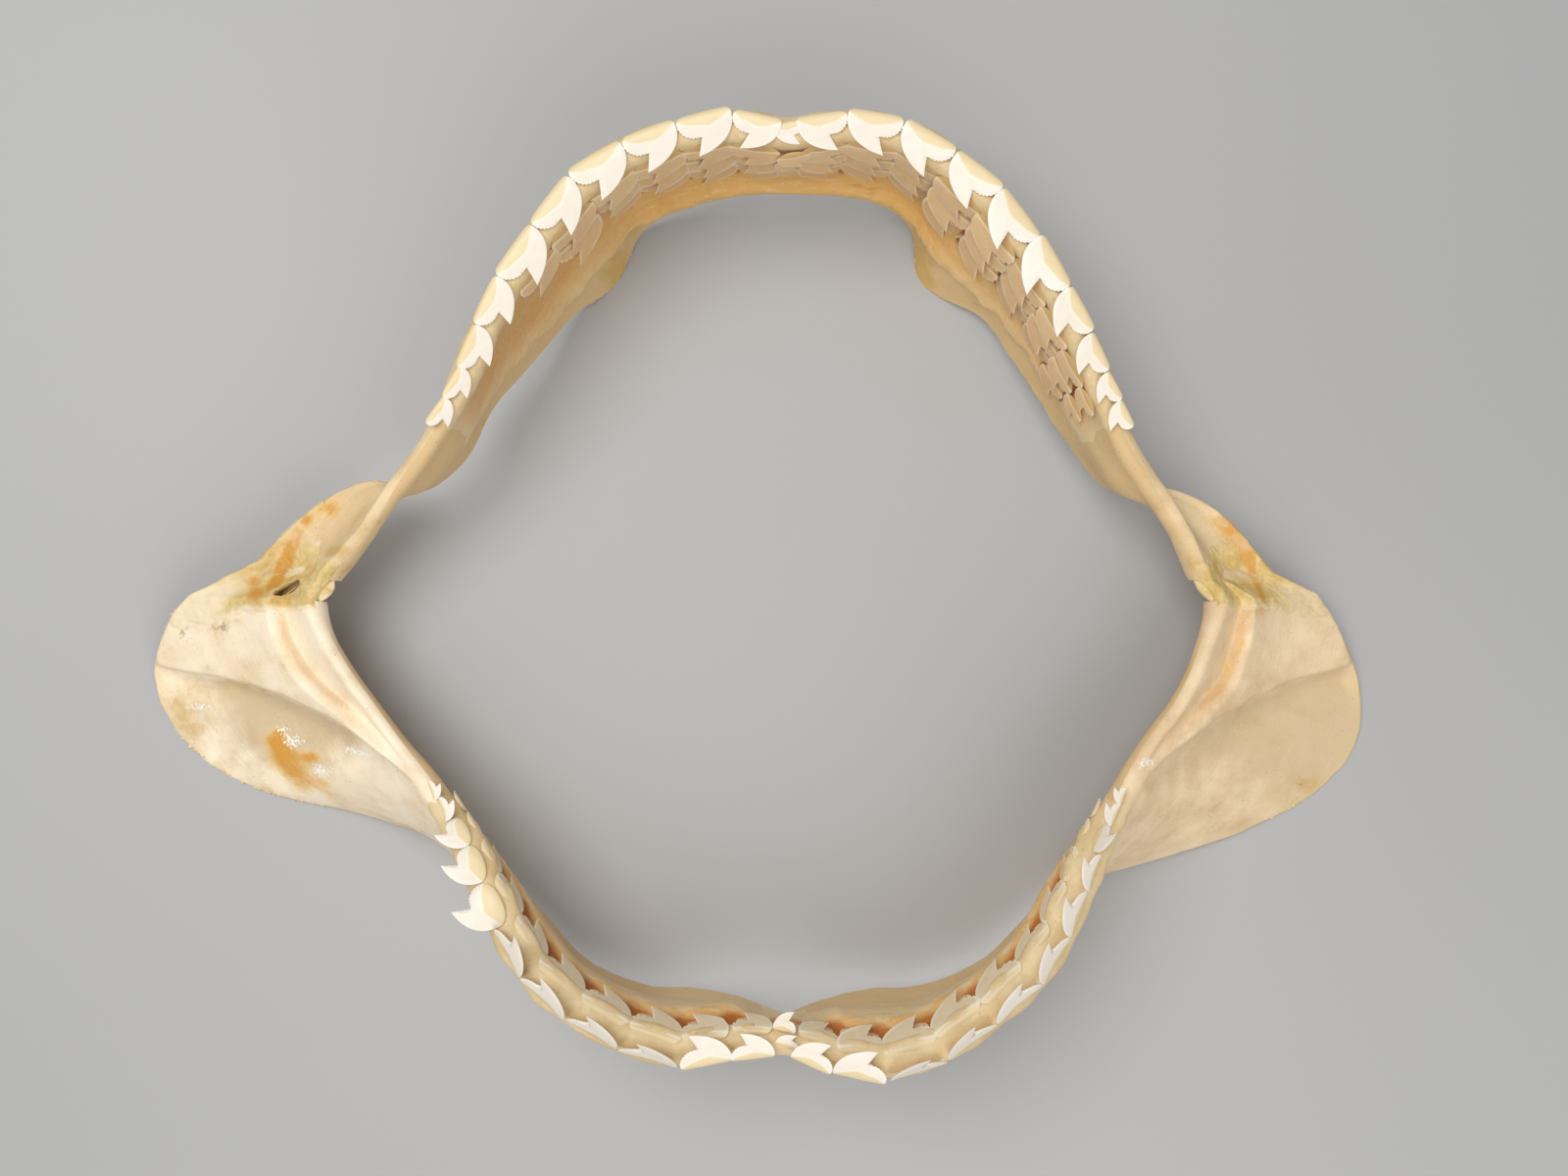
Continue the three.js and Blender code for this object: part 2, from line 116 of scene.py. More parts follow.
# %% The stations of the upper jaw
# (x, y, z) in millimetres, and a skew in x and y for the stations that need one
UPPER = dict(
    name="upper",
    tongue_sign=-1,
    crest=[
        (1.2, 144.8, 62), (20.5, 147.3, 62), (37, 144, 62), (53.5, 136.3, 62),
        (67.5, 124.7, 62), (82.5, 105.5, 61), (93, 87.5, 60), (102.5, 67.5, 56),
        (113.5, 48, 52), (122.5, 36, 48), (129, 26.5, 44), (136, 15.5, 40), (144.5, 2.5, 36),
    ],
    crest_skew={
        3: (-3, 0), 4: (-3, 0), 5: (-2, 0), 6: (-1, 0), 7: (0.8, 0),
        8: (1.5, 0), 9: (2.5, 0), 10: (3.5, 0), 11: (4, 0), 12: (2, 0),
    },
    edge=[
        (1.2, 140, 14), (19.5, 138.5, 13), (33.5, 136.5, 9), (48.5, 129, 4),
        (56, 111, -0.8), (74, 97, 5), (85.5, 80.5, 11), (97.5, 63.5, 15),
        (107.5, 45.5, 18), (120, 34.5, 20), (138.5, 34.5, 22), (158, 25.5, 21), (176, 7.5, 19),
    ],
    edge_skew={
        3: (-4, 0), 4: (-6.5, 0), 5: (-3.2, 0), 6: (-3.2, 0), 7: (-3.4, 0),
        10: (1, -2), 11: (1.5, -2), 12: (2, -2),
    },
    crest_half=[4.2, 4.2, 3.8, 3.4, 4.2],
    middle_half=[3.4, 3.2, 3, 2.8, 3],
    edge_half=[1.8, 1.8, 1.6, 1.4, 2.2],
    bow=[-3, -3.5, -2.5, 0.5, 3.5],
    band_end=8.25,
    first_tooth=1.5,
    tooth_widths=[15.7, 17.5, 18, 18.5, 19, 18.5, 16.4, 14, 10.7, 10],
    middle_tooth=10.3,
)
print("stations of the upper jaw:", len(UPPER["crest"]))

# %% The stations of the lower jaw
LOWER = dict(
    name="lower",
    tongue_sign=1,
    crest=[
        (1.2, -144, 62), (17, -147, 63), (33, -148.5, 64), (50, -143.5, 64),
        (70.5, -130, 64), (83, -117, 62), (93, -98.5, 59), (101.5, -80.5, 55),
        (112, -64, 50), (122, -51, 46), (132, -39, 42), (139, -29, 40),
        (145, -18, 38), (148, -10.5, 37), (149.5, -4.5, 36),
    ],
    crest_skew={
        1: (0, -2), 2: (0, -2), 3: (0, -1.5), 10: (1.5, 0), 11: (2, 0),
        12: (2, 0), 13: (2.2, 0), 14: (2.4, 0),
    },
    edge=[
        (1.2, -146, 30), (15.5, -144, 18), (32, -142.5, 12), (48.5, -142, 10),
        (70, -134, 8), (84, -121, 6), (102, -103, 5), (121, -94.5, 4),
        (151.5, -86.5, 1), (177, -79.5, -0.6), (198, -69, -0.8), (212, -54, -0.6),
        (216, -34, 1.5), (209, -15, 6), (198, -2.5, 11),
    ],
    edge_skew={
        5: (0, -1), 6: (-4, -5), 7: (-6, -7), 8: (-2.8, -6.5), 9: (-3.1, -4.5),
        10: (-2.3, -2.5), 11: (-3, -1.5), 12: (-4, 0), 13: (-3.5, 0), 14: (-2.5, 0.5),
    },
    crest_half=[4.2, 4.8, 4.6, 4, 4.8],
    middle_half=[3.8, 3.8, 3.4, 2.6, 3],
    edge_half=[2, 2, 1.8, 1.6, 2],
    bow=[-1, -2, -1, 5, 4],
    band_end=8.25,
    first_tooth=2,
    tooth_widths=[13.5, 16.5, 18.5, 18.5, 18, 16.5, 15, 12.5, 10, 8, 6],
    middle_tooth=8,
)
print("stations of the lower jaw:", len(LOWER["crest"]))

# %% [markdown]
# Between the stations runs a smooth cubic curve. At any place on it, three directions tell
# where things go: along the jaw, down the plate and towards the tongue. All later shapes are
# given as a depth below the crest and a distance towards the tongue, and placed by these.

# %% The curve and the midline
CENTRE_X, CENTRE_Y = 8.8, 1.4  # brings the middle of the whole to the origin
JOINT_DRIFT, JOINT_DRIFT_SPAN = 8.5, 52  # drying pulled the joints sideways, over this length
SNOUT_DRIFT, SNOUT_FROM, SNOUT_TO = 1.8, 60, 140  # and the snout a little, between these places


def curve(points, t):
    """Points of the smooth curve through a list of points, at t from 0 to 1."""
    n = len(points) - 1
    ends = 2 * points[0] - points[1], 2 * points[-1] - points[-2]
    padded = np.vstack([ends[0], points, ends[1]])
    x = np.clip(t, 0, 1) * n
    i = np.minimum(x.astype(int), n - 1)
    w = (x - i)[:, None]
    before, here, ahead, after = (padded[i + k] for k in range(4))
    slope, next_slope = (ahead - before) / 2, (after - here) / 2
    cubic = 2 * here - 2 * ahead + slope + next_slope
    square = -3 * here + 3 * ahead - 2 * slope - next_slope
    return ((cubic * w + square) * w + slope) * w + here


def midline(y):
    """Where the line between the left and right half runs."""
    snout = SNOUT_DRIFT * smooth(y, SNOUT_FROM, SNOUT_TO)
    return CENTRE_X + (snout - JOINT_DRIFT * bell(y, 0, JOINT_DRIFT_SPAN))


print("midline at the joints:", midline(0).round(1), "and at the snout:", midline(145).round(1))

# %% A half-jaw and its local directions
LENGTH_STEPS = 1200  # steps in which the crest's length is measured


class HalfJaw:
    """One half of a jaw, with its guiding curves. Side is +1 for right and -1 for left."""

    def __init__(self, shape, side):
        self.shape = shape
        self.side = side
        self.word = "right" if side > 0 else "left"
        self.last = len(shape["crest"]) - 1
        self.crest = self.skewed("crest")
        self.edge = self.skewed("edge")
        steps = np.linspace(0, 1, LENGTH_STEPS)
        points = curve(self.crest, steps)
        gaps = np.linalg.norm(np.diff(points, axis=0), axis=1)
        self.steps = steps * self.last
        self.lengths = np.concatenate([[0], np.cumsum(gaps)])

    def skewed(self, name):
        """The stations of one curve, with this side's skew."""
        points = np.array(self.shape[name], float)
        for i, shift in self.shape[name + "_skew"].items():
            points[i, :2] += self.side * np.array(shift)
        return points

    def length_at(self, q):
        """Length along the crest from the midline to station q."""
        return np.interp(q, self.steps, self.lengths)

    def station_at(self, length):
        return np.interp(length, self.lengths, self.steps)

    def at(self, q):
        """Crest point, local directions and height of the plate at stations q."""
        q = np.atleast_1d(np.asarray(q, float))
        t = q / self.last
        step = 1e-3
        crest = curve(self.crest, t)
        ahead = curve(self.crest, np.minimum(t + step, 1))
        tangent = unit(ahead - curve(self.crest, np.maximum(t - step, 0)))
        reach = curve(self.edge, t) - crest
        height = np.linalg.norm(reach, axis=1)
        down = unit(reach)
        tongue = unit(np.cross(tangent, down)) * self.shape["tongue_sign"]
        return SimpleNamespace(
            q=q[:, None], f=t[:, None], crest=crest, tangent=tangent, down=down,
            tongue=tongue, height=height[:, None], length=self.length_at(q)[:, None],
        )

    def to_side(self, points):
        """Mirrors points of the right half for the left one, and puts them on the midline."""
        placed = np.array(points, float)
        placed[..., 0] = self.side * points[..., 0] + midline(points[..., 1])
        placed[..., 1] = points[..., 1] + CENTRE_Y
        return placed

    def place(self, local, a, b):
        """Points a below the crest and b towards the tongue, for each station."""
        across = local.down[:, None] * a[..., None] + local.tongue[:, None] * b[..., None]
        return self.to_side(local.crest[:, None] + across)


HALVES = {(jaw["name"], side): HalfJaw(jaw, side) for jaw in (UPPER, LOWER) for side in (1, -1)}
for (jaw_name, side), half in HALVES.items():
    print(jaw_name, half.word, "crest length", round(half.lengths[-1]), "mm")

# %% [markdown]
# ## The skin of a plate
#
# Across its section the plate is thickest at the crest, thins towards the back edge and swells
# into a knob at the jaw joint. The outer face of the lower blade carries a ridge with a trough
# on its inner side and a broad hollow below it, where the closing muscles were fixed.

# %% Thickness
WAIST = 0.45  # share of the height at which the plate has its middle thickness
KNOB_THICK, KNOB_SHARE = 1.8, 0.25  # the knob at the joint, and its share of the height


def fullness(share):
    """A quarter circle from 0 to 1, which rounds an edge off."""
    return np.sqrt(np.maximum(0, 1 - (1 - np.minimum(share, 1)) ** 2))


def half_thickness(half, local, a):
    """Half the plate's thickness at the depth a, before any relief."""
    shape = half.shape
    crest, middle, edge = (
        along(shape[key], local.f) for key in ("crest_half", "middle_half", "edge_half")
    )
    s = a / local.height
    upper_part = mix(crest, middle, s / WAIST)
    lower_part = mix(middle, edge, (s - WAIST) / (1 - WAIST))
    knob = KNOB_THICK * bell(local.q, half.last - 0.2, 0.9) * bell(s, KNOB_SHARE, 0.3)
    plain = np.where(s < WAIST, upper_part, lower_part) + knob
    return plain * fullness(a / crest) * fullness((local.height - a) / edge)


right_front = HALVES["lower", 1].at([4.0])
print("lower plate height at station 4:", right_front.height[0, 0].round(1), "mm")

# %% Relief of the muscles' faces
BLADE_STATIONS = 6.2  # the plate is a blade over this many stations before the joint
BACK_RIM, CREST_RIM, UPPER_DIP, UPPER_SAG = 1.9, 0.8, 1.3, 1.6  # the upper blade's relief
RIDGE_HEIGHT = {-1: 4.2, 1: 3.0}  # the lower blade's ridge stands higher on the left
TROUGH_DEPTH, LEDGE_DIP, LEDGE_SAG = 2.4, 1.1, 2.4
RELIEF_EDGE = 4  # relief fades out over this distance from the crest and the edge
# station, then the shares of the height where the ridge's inner foot and outer ledge run
RIDGE_LINES = [
    (8.2, 0.02, 0.05), (9, 0.065, 0.12), (9.55, 0.10, 0.17), (10.25, 0.13, 0.24),
    (11.1, 0.185, 0.38), (11.5, 0.2, 0.51), (11.8, 0.205, 0.64), (12.3, 0.22, 0.95),
    (12.7, 0.23, 1.3), (14, 0.27, 1.6),
]


def blade_share(half, local):
    """0 in front, rising to 1 at the joint, over the stations where the plate is a blade."""
    return np.clip((local.q - half.last + BLADE_STATIONS) / BLADE_STATIONS, 0, 1)


def ridge_lines(local):
    """Shares of the height at which the ridge's foot and its ledge run."""
    stations, foot, ledge = np.array(RIDGE_LINES).T
    return np.interp(local.q, stations, foot), np.interp(local.q, stations, ledge)


def muscle_relief(half, local, s):
    """Relief of the face where the closing muscles were fixed, and how much the plate sags."""
    fade = smooth(s, 0, 0.05) * smooth(1 - s, 0, 0.08)
    strength = smooth(blade_share(half, local), 0, 0.35) * fade
    if half.shape["name"] == "upper":
        rims = BACK_RIM * bell(s, 0.9, 0.06) + CREST_RIM * bell(s, 0.07, 0.06)
        relief = rims - UPPER_DIP * bell(s, 0.5, 0.26)
        return strength * relief, strength * UPPER_SAG * bell(s, 0.5, 0.24)
    foot, ledge = ridge_lines(local)
    raised = smooth(s, foot - 0.015, foot + 0.04) * (1 - smooth(s, ledge - 0.035, ledge + 0.045))
    trough = smooth(s, 0, foot) * (1 - smooth(s, foot - 0.015, foot + 0.03))
    relief = RIDGE_HEIGHT[half.side] * raised - TROUGH_DEPTH * trough
    relief = relief - LEDGE_DIP * bell(s, ledge + 0.16, 0.14)
    return strength * relief, strength * LEDGE_SAG * bell(s, ledge + 0.18, 0.16)


def crease(half, local, s):
    """1 in the sharp groove at the ridge's inner foot, which the finish darkens as painted shade.
    """
    if half.shape["name"] == "upper":
        return np.zeros_like(s)
    foot, _ = ridge_lines(local)
    strength = smooth(local.q, 9.6, 10.8) * (1 - 0.5 * smooth(local.q, 12.6, 13.8))
    return strength * bell(s, foot, 0.014)


def hollow(half, local, s):
    """Painted shade: 1 in the broad hollow of the lower blade, below the ledge, weaker on the
    upper.
    """
    if half.shape["name"] == "upper":
        return 0.4 * bell(s, 0.5, 0.3) * blade_share(half, local)
    _, ledge = ridge_lines(local)
    below_ledge = smooth(blade_share(half, local), 0.1, 0.4) * smooth(s, ledge, ledge + 0.1)
    # less painted shade towards the left blade's back edge, which turns up to the light
    less_shade_at_rim = 0.75 * smooth(s, 0.62, 0.9) * (half.side < 0)  # the left blade's back edge
    return below_ledge * (1 - less_shade_at_rim)


def skin(half, local, a, face):
    """Offset of the plate's skin from its mid-plane. Face is +1 for the tongue's side."""
    s = np.clip(a / local.height, 0, 1)
    relief, sag = muscle_relief(half, local, s)
    bow = along(half.shape["bow"], local.f) * np.sin(np.pi * s) + sag
    relief = np.where(face < 0, relief, 0)
    fade = fullness(a / RELIEF_EDGE), fullness((local.height - a) / RELIEF_EDGE)
    thick = half_thickness(half, local, a) + relief * fade[0] * fade[1]
    return bow + face * np.maximum(thick, 0)


middle_depth = right_front.height / 2
print("bow of its face there:", skin(HALVES["lower", 1], right_front, middle_depth, 1).round(1))

# %% [markdown]
# ## From rings of points to a mesh
#
# A long organic piece is easiest to build as a row of closed rings, joined by quads and
# capped at both ends. The same function then serves cartilage, gum, tissue and fibres.
# Named values stored on the points - a stain, a depth, a direction of grain - travel with
# the mesh, and the materials read them later.

# %% Building meshes


def make_piece(name, points, faces, values=None, sharp=60):
    """A mesh object from points in millimetres, with named values stored on its points."""
    mesh = bpy.data.meshes.new(name)
    mesh.from_pydata((points.reshape(-1, 3) * MM).tolist(), [], faces)
    for key, data in (values or {}).items():
        data = np.asarray(data, np.float32)
        kind = {1: "FLOAT", 3: "FLOAT_VECTOR", 4: "FLOAT_COLOR"}[data.size // len(mesh.vertices)]
        field = {"FLOAT": "value", "FLOAT_VECTOR": "vector", "FLOAT_COLOR": "color"}[kind]
        stored = mesh.attributes.new(key, kind, "POINT")
        stored.data.foreach_set(field, data.ravel())
    outward(mesh)
    mesh.shade_smooth()
    mesh.set_sharp_from_angle(angle=np.radians(sharp))
    piece = bpy.data.objects.new(name, mesh)
    bpy.context.scene.collection.objects.link(piece)
    print(f"{name}: {len(mesh.vertices)} points")
    return piece


def outward(mesh):
    """Turns all faces of closed shells to point outwards."""
    work = bmesh.new()
    work.from_mesh(mesh)
    bmesh.ops.recalc_face_normals(work, faces=work.faces)
    work.to_mesh(mesh)
    work.free()


def ring_faces(count, size, sheet=False):
    """Faces for `count` rings of `size` points. The end caps join points that lie opposite.

    A ring starts at the middle of its crest, which is its own opposite. A sheet's ring starts
    at a border, where the first point lies opposite the last."""
    i = np.arange(count - 1)[:, None] * size
    j = np.arange(size)[None]
    k = (j + 1) % size
    quads = np.stack(np.broadcast_arrays(i + j, i + k, i + size + k, i + size + j), -1)
    faces = quads.reshape(-1, 4).tolist()
    end = (count - 1) * size
    for j in range(size // 2):
        opposite = [(size - sheet - p) % size for p in (j + 1, j)]
        strip = list(dict.fromkeys([j, j + 1, *opposite]))
        if len(strip) > 2:
            faces += [strip, [end + p for p in strip][::-1]]
    return faces


def closed_ring(tongue, lips):
    """One ring from two faces that share their first and last points."""
    return np.concatenate([tongue, lips[:, -2:0:-1]], axis=1)


print("faces of a bar of two square rings:", len(ring_faces(2, 4)))


# %% [markdown]
# ## The cartilage
#
# Dried shark cartilage is ivory to tan, faintly fibrous and never quite even. Its back edges
# are torn, because the muscles were scraped off there. The plate is swept from its two curves
# with a hundred points a face, then given low lumps and a ragged edge. Modelling by hand
# in sculpt mode would also work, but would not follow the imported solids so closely.

# %% Sections of a plate
PLATE_RINGS = 340
PLATE_LUMPS = [(16, 0.32), (5, 0.16)]  # size and height of the unevenness


def face_depths(half, local, cap=9, middle=98):
    """Depths of the points on one face: fine round the crest and the edge."""
    crest = along(half.shape["crest_half"], local.f)
    edge = along(half.shape["edge_half"], local.f)
    turn = np.linspace(0, np.pi / 2, cap)[None]
    top = crest * (1 - np.cos(turn))
    foot = local.height - edge * (1 - np.sin(turn))
    share = np.linspace(0, 1, middle + 2)[None, 1:-1]
    return np.hstack([top, mix(crest, local.height - edge, share), foot])


def grain(local, a):
    """Length along the jaw, and depth: the fibres of the cartilage follow this."""
    length = np.broadcast_to(local.length, a.shape)
    return np.stack([length, a, np.zeros_like(a)], -1)


def ragged(half, q, seed):
    """How far the torn back edge stands out from its smooth line."""
    length = half.length_at(q)
    shift = 7.7 * half.side
    teased = 0.9 * lumps_along(length, 9, shift, seed)
    teased = teased + 0.55 * lumps_along(length, 3.1, shift, seed + 1)
    teased = teased + 0.5 * np.maximum(0, lumps_along(length, 1.3, shift, seed + 2))
    if half.shape["name"] == "upper":  # torn muscle remains on the process behind the eye
        teased = teased * (1 + 1.6 * bell(q, 4.1, 0.5))
    return 0.15 + teased


print("points on one face of a section:", face_depths(HALVES["lower", 1], right_front).shape[1])


# %% [markdown]
# Stains mark where tissue dried on the cartilage: strong orange oil stains, olive remains of
# ligament, white flaky scars and a few grey smudges. Each is a soft patch at a place on the
# plan, and the material later breaks its outline up with noise.

# %% Stains on the cartilage
STRONGEST = 1.2  # where patches overlap, their strengths add up to this at most
# kind: list of (x, y, reach in x, reach in y, strength), in plan
STAINS = {
    "orange": [
        (-171, -52, 5, 4, 0.95), (-167.5, -58, 6, 5.5, 1.0), (-163, -65, 7.5, 6, 1.0),
        (-157, -57.5, 4.5, 2.2, 0.9), (-169, -49.5, 2.5, 2, 0.7), (-155, -67, 6, 3, 0.6),
        (-161, -17, 5, 8, 0.34), (-187, -34.5, 4, 2.4, 0.4),
        (-148, 28.5, 5.5, 4, 1.0), (-155.5, 24.5, 2.2, 3, 1.0), (-159, 19, 2.2, 4, 1.1),
        (-162, 13, 2.4, 4.5, 1.2), (-164.5, 7.5, 2.8, 4, 1.2), (-166, 3, 2.6, 2.6, 1.2),
        (-174.7, 3.8, 4, 2.4, 1.0), (-171.4, -0.8, 4.5, 2.4, 0.9), (-168, -5, 6, 2.5, 0.6),
        (160, 24.5, 7, 4, 0.8), (163.5, 19.5, 4, 5, 0.9), (167.5, 12, 4, 5, 0.7),
        (170, 9, 1.5, 5, 0.9), (172, 0, 1.7, 6, 1.0), (166, 3, 3, 4, 0.4),
        (164.5, -18, 1.3, 3.6, 0.8), (159.5, -25.5, 1.4, 3.6, 0.75), (152.5, -33, 2.6, 1.6, 0.6),
        (141, -41, 4.5, 1.3, 0.5), (134, -45.5, 4, 1.2, 0.4),
    ],
    "olive": [
        (-182, -10, 8, 3, 0.5), (-122, -83, 12, 3, 0.6), (-168, 0, 16, 5, 0.9),
        (-208, -44, 3, 7, 0.5), (-176, -74, 18, 3, 0.5), (-202, -50, 4, 4, 0.5),
        (195, -69, 10, 5, 0.55), (172, -2, 14, 6, 0.6), (56, 113, 7, 9, 1.0),
        (52, 126, 6, 8, 0.7), (-50, 114, 6, 7, 1.0), (-43, 127, 5, 7, 0.6),
        (182, -36, 3.5, 2.2, 0.4), (173, -45, 5, 2, 0.35),
        (150, -84, 20, 3, 0.4), (-142, 14, 12, 2.2, 0.7), (150, 9, 8, 2.4, 0.7),
    ],
    "scar": [
        (-168, -48.5, 4, 1.6, 0.8), (-163.5, -52.5, 4.5, 2.4, 0.9), (-152.5, -62.5, 5.5, 2.4, 0.9),
        (-133.6, -55.4, 6.5, 1.8, 0.9), (-200, -41, 6, 1.6, 0.7), (-140, -53.5, 5, 1.5, 0.5),
        (127, -56, 5, 1.8, 0.8), (176, 2, 5, 2.5, 0.6), (-178, 3, 2.6, 5, 0.6),
    ],
    "grey": [
        (-201, -10, 3, 3, 1.0), (-202, -16, 2.5, 3, 1.0), (-182.8, -12, 5, 2.6, 0.75),
        (-177, -15.6, 4, 2, 0.65),
    ],
}


def stain_values(points):
    """Strength of each kind of stain at each point, as four values."""
    x, y = points[..., 0], points[..., 1]
    layers = []
    for spots in STAINS.values():
        layer = np.zeros_like(x)
        for cx, cy, rx, ry, strength in spots:
            layer = layer + strength * np.exp(-(((x - cx) / rx) ** 2 + ((y - cy) / ry) ** 2))
        layers.append(np.minimum(layer, STRONGEST))
    return np.stack(layers, -1)


print("patches:", {kind: len(spots) for kind, spots in STAINS.items()})


# %% The four plates


def cartilage_plate(half, seed):
    """One bar of cartilage: two uneven faces with a torn back edge, as closed rings."""
    q = np.linspace(0, half.last, PLATE_RINGS)
    local = half.at(q)
    local.height = local.height + ragged(half, q, seed)[:, None]
    depths = face_depths(half, local)
    tongue = half.place(local, depths, skin(half, local, depths, 1))
    lips = half.place(local, depths, skin(half, local, depths, -1))
    outward_step = unit(tongue - lips + 1e-9)
    for points, sign, shift in ((tongue, 1, 0), (lips, -1, 5)):
        relief = sum(h * lumps(points, size, seed + shift) for size, h in PLATE_LUMPS)
        fade = fullness(depths / 5) * fullness((local.height - depths) / 5)
        points += sign * (relief * fade)[..., None] * outward_step
    rings = closed_ring(tongue, lips)
    depth_ring = closed_ring(depths, depths)
    face_ring = closed_ring(np.ones_like(depths), -np.ones_like(depths))
    share = depth_ring / local.height
    faces = ring_faces(PLATE_RINGS, rings.shape[1])
    stained_face = (face_ring < 0) | (half.shape["name"] == "upper")
    values = {
        "grain": grain(local, depth_ring),
        "stains": stain_values(rings) * stained_face[..., None],
        "share": share,
        "blade": np.broadcast_to(blade_share(half, local), share.shape),
        "face": face_ring,
        "crease": crease(half, local, share) * (face_ring < 0),
        "hollow": hollow(half, local, share) * (face_ring < 0),
    }
    name = f"{half.shape['name']}_cartilage_{half.word}"
    return make_piece(name, rings, faces, values)


plates = {}
for number, (key, half) in enumerate(HALVES.items()):
    plates[key] = cartilage_plate(half, seed=3 * number + 1)

# %% [markdown]
# ## Where the teeth stand
#
# Shark teeth form files: one tooth of each row behind the next. The crest's length is shared
# out by the widths of the teeth, which gives each file its station. The gum needs these
# places too, because it swells over each root and sinks between the files.

# %% Files of teeth
LEFT_SHOWN = 6  # files of the upper left half that show their first spare tooth


def tooth_files(half):
    """Width, place along the crest and station of each file, from the midline to the joint."""
    ends = half.shape["first_tooth"] + np.cumsum([0] + half.shape["tooth_widths"])
    return [
        SimpleNamespace(
            number=i + 1,
            width=width,
            length=ends[i] + width / 2,
            q=float(half.station_at(ends[i] + width / 2)),
        )
        for i, width in enumerate(half.shape["tooth_widths"])
    ]


def shown_files(half, level):
    """How many files show their spare tooth in a row. The gum hides the others."""
    if half.shape["name"] == "upper" and half.side < 0:
        return LEFT_SHOWN - level
    return len(half.shape["tooth_widths"]) - 1 - level // 2


FILES = {key: tooth_files(half) for key, half in HALVES.items()}
print("files:", {key: len(files) for key, files in FILES.items()})

# %% [markdown]
# ## The gum
#
# Dried gum covers the crest and the tongue's side of the tooth-bearing part as one skin from
# side to side. On the lips' side it fades out in a few millimetres. On the tongue's side of
# the upper jaw it forms an ochre wall with a thick ridge at its foot. In the lower jaw it
# stands off the plate as a shelf, and leaves a groove with dark pits behind the teeth.
# It is a sheet with its own thickness at each depth, so one closed mesh gives both faces.

# %% Thickness of the upper gum
# The depth w runs from the crest down the plate, and is counted negative on the lips' side.
# The depth at which the sheet ends on the tongue's side is its foot.
LIPS_REACH = 9.5  # how far the gum reaches down on the lips' side
LIPS_FADE = 6  # the distance over which it fades out there
BURIED = -0.5  # where the gum ends, it dips under the plate's skin
UPPER_WALL, UPPER_SWELL, RIDGE_THICK = 1.1, 0.7, 2.6


def upper_gum_thickness(half, local, w, foot):
    wall = UPPER_WALL + UPPER_SWELL * bell(w, -4, 3)
    in_front = 1 - 0.75 * smooth(local.length, 45, 85)
    ridge = RIDGE_THICK * in_front * bell(w, foot - 5, 3.4)
    lips_fade = smooth(w, -LIPS_REACH, -LIPS_REACH + LIPS_FADE)
    foot_fade = 1 - smooth(w, foot - 3.5, foot)
    return mix(BURIED, wall + ridge, lips_fade * foot_fade)


upper_half = HALVES["upper", 1]
on_ridge = upper_gum_thickness(upper_half, upper_half.at([1.0]), np.array([25.0]), 30.0)
print("upper gum on its ridge:", on_ridge.round(1), "mm")

# %% Thickness of the lower gum
LOWER_WALL, SHELF_THICK = 0.9, 4.3
SHELF_TOP_FRONT, SHELF_RISE = 14.5, 4.5  # depth of the shelf, and how much it rises aside


def lower_gum_thickness(half, local, w, foot):
    middle_fade = smooth(local.length, 5, 18)
    shelf_top = SHELF_TOP_FRONT - SHELF_RISE * smooth(local.q, 6, half.shape["band_end"])
    shelf = (SHELF_THICK * middle_fade) * smooth(w, shelf_top - 3.4, shelf_top - 0.4)
    shelf = shelf * (1 - smooth(w, shelf_top + 4, foot + 2))
    wall = LOWER_WALL + (0.7 * bell(w, -3, 2.2) + 0.5 * bell(w, 2.4, 1.8)) * middle_fade
    lips_fade = smooth(w, -LIPS_REACH, -LIPS_REACH + LIPS_FADE)
    foot_fade = 1 - smooth(w, foot - 6, foot)
    return mix(BURIED, wall + shelf, lips_fade * foot_fade)


on_shelf = lower_gum_thickness(HALVES["lower", 1], right_front, np.array([16.0]), 40.0)
print("lower gum on its shelf:", on_shelf.round(1), "mm")

# %% Swellings and grooves of the files
ROOT_SWELL, INNER_SWELL = 1.0, 1.2
GROOVE_WIDTH, PIT_WIDTH = 1.6, 3.8  # grooves above, pits below


def file_relief(half, local, w):
    """Swellings over the roots, and the depth of the grooves or pits between files."""
    upper = half.shape["name"] == "upper"
    swell = np.zeros(np.broadcast_shapes(local.length.shape, w.shape))
    groove = swell.copy()
    for file in FILES[half.shape["name"], half.side]:
        root = bell(local.length, file.length, 0.34 * file.width)
        swell += ROOT_SWELL * root * bell(w, -5, 2.6)
        if not upper:
            swell += INNER_SWELL * root * bell(w, 2.4, 1.7)
        width = GROOVE_WIDTH if upper else PIT_WIDTH
        between = bell(local.length, file.length + file.width / 2, width)
        if file.number > shown_files(half, 2):
            between = 0 * between
        reach = smooth(w, 3, 9) * (1 - smooth(w, 28, 36)) if upper else bell(w, 10.8, 3.2)
        groove = np.maximum(groove, between * reach)
    return swell, groove


deepest = file_relief(HALVES["lower", 1], HALVES["lower", 1].at([2.0, 2.5]), np.array([[10.8]]))[1]
print("pits at stations 2 and 2.5:", deepest.ravel().round(2))

# %% The path of a gum section
SECTION_CAP, SECTION_LIPS, SECTION_TONGUE = 9, 10, 58  # points round the crest and on the faces
GUM_RINGS = 290


def both_layers(values):
    """Repeats a sheet's values for its inner layer, whose points run the other way."""
    return np.concatenate([values, values[:, ::-1]], axis=1)


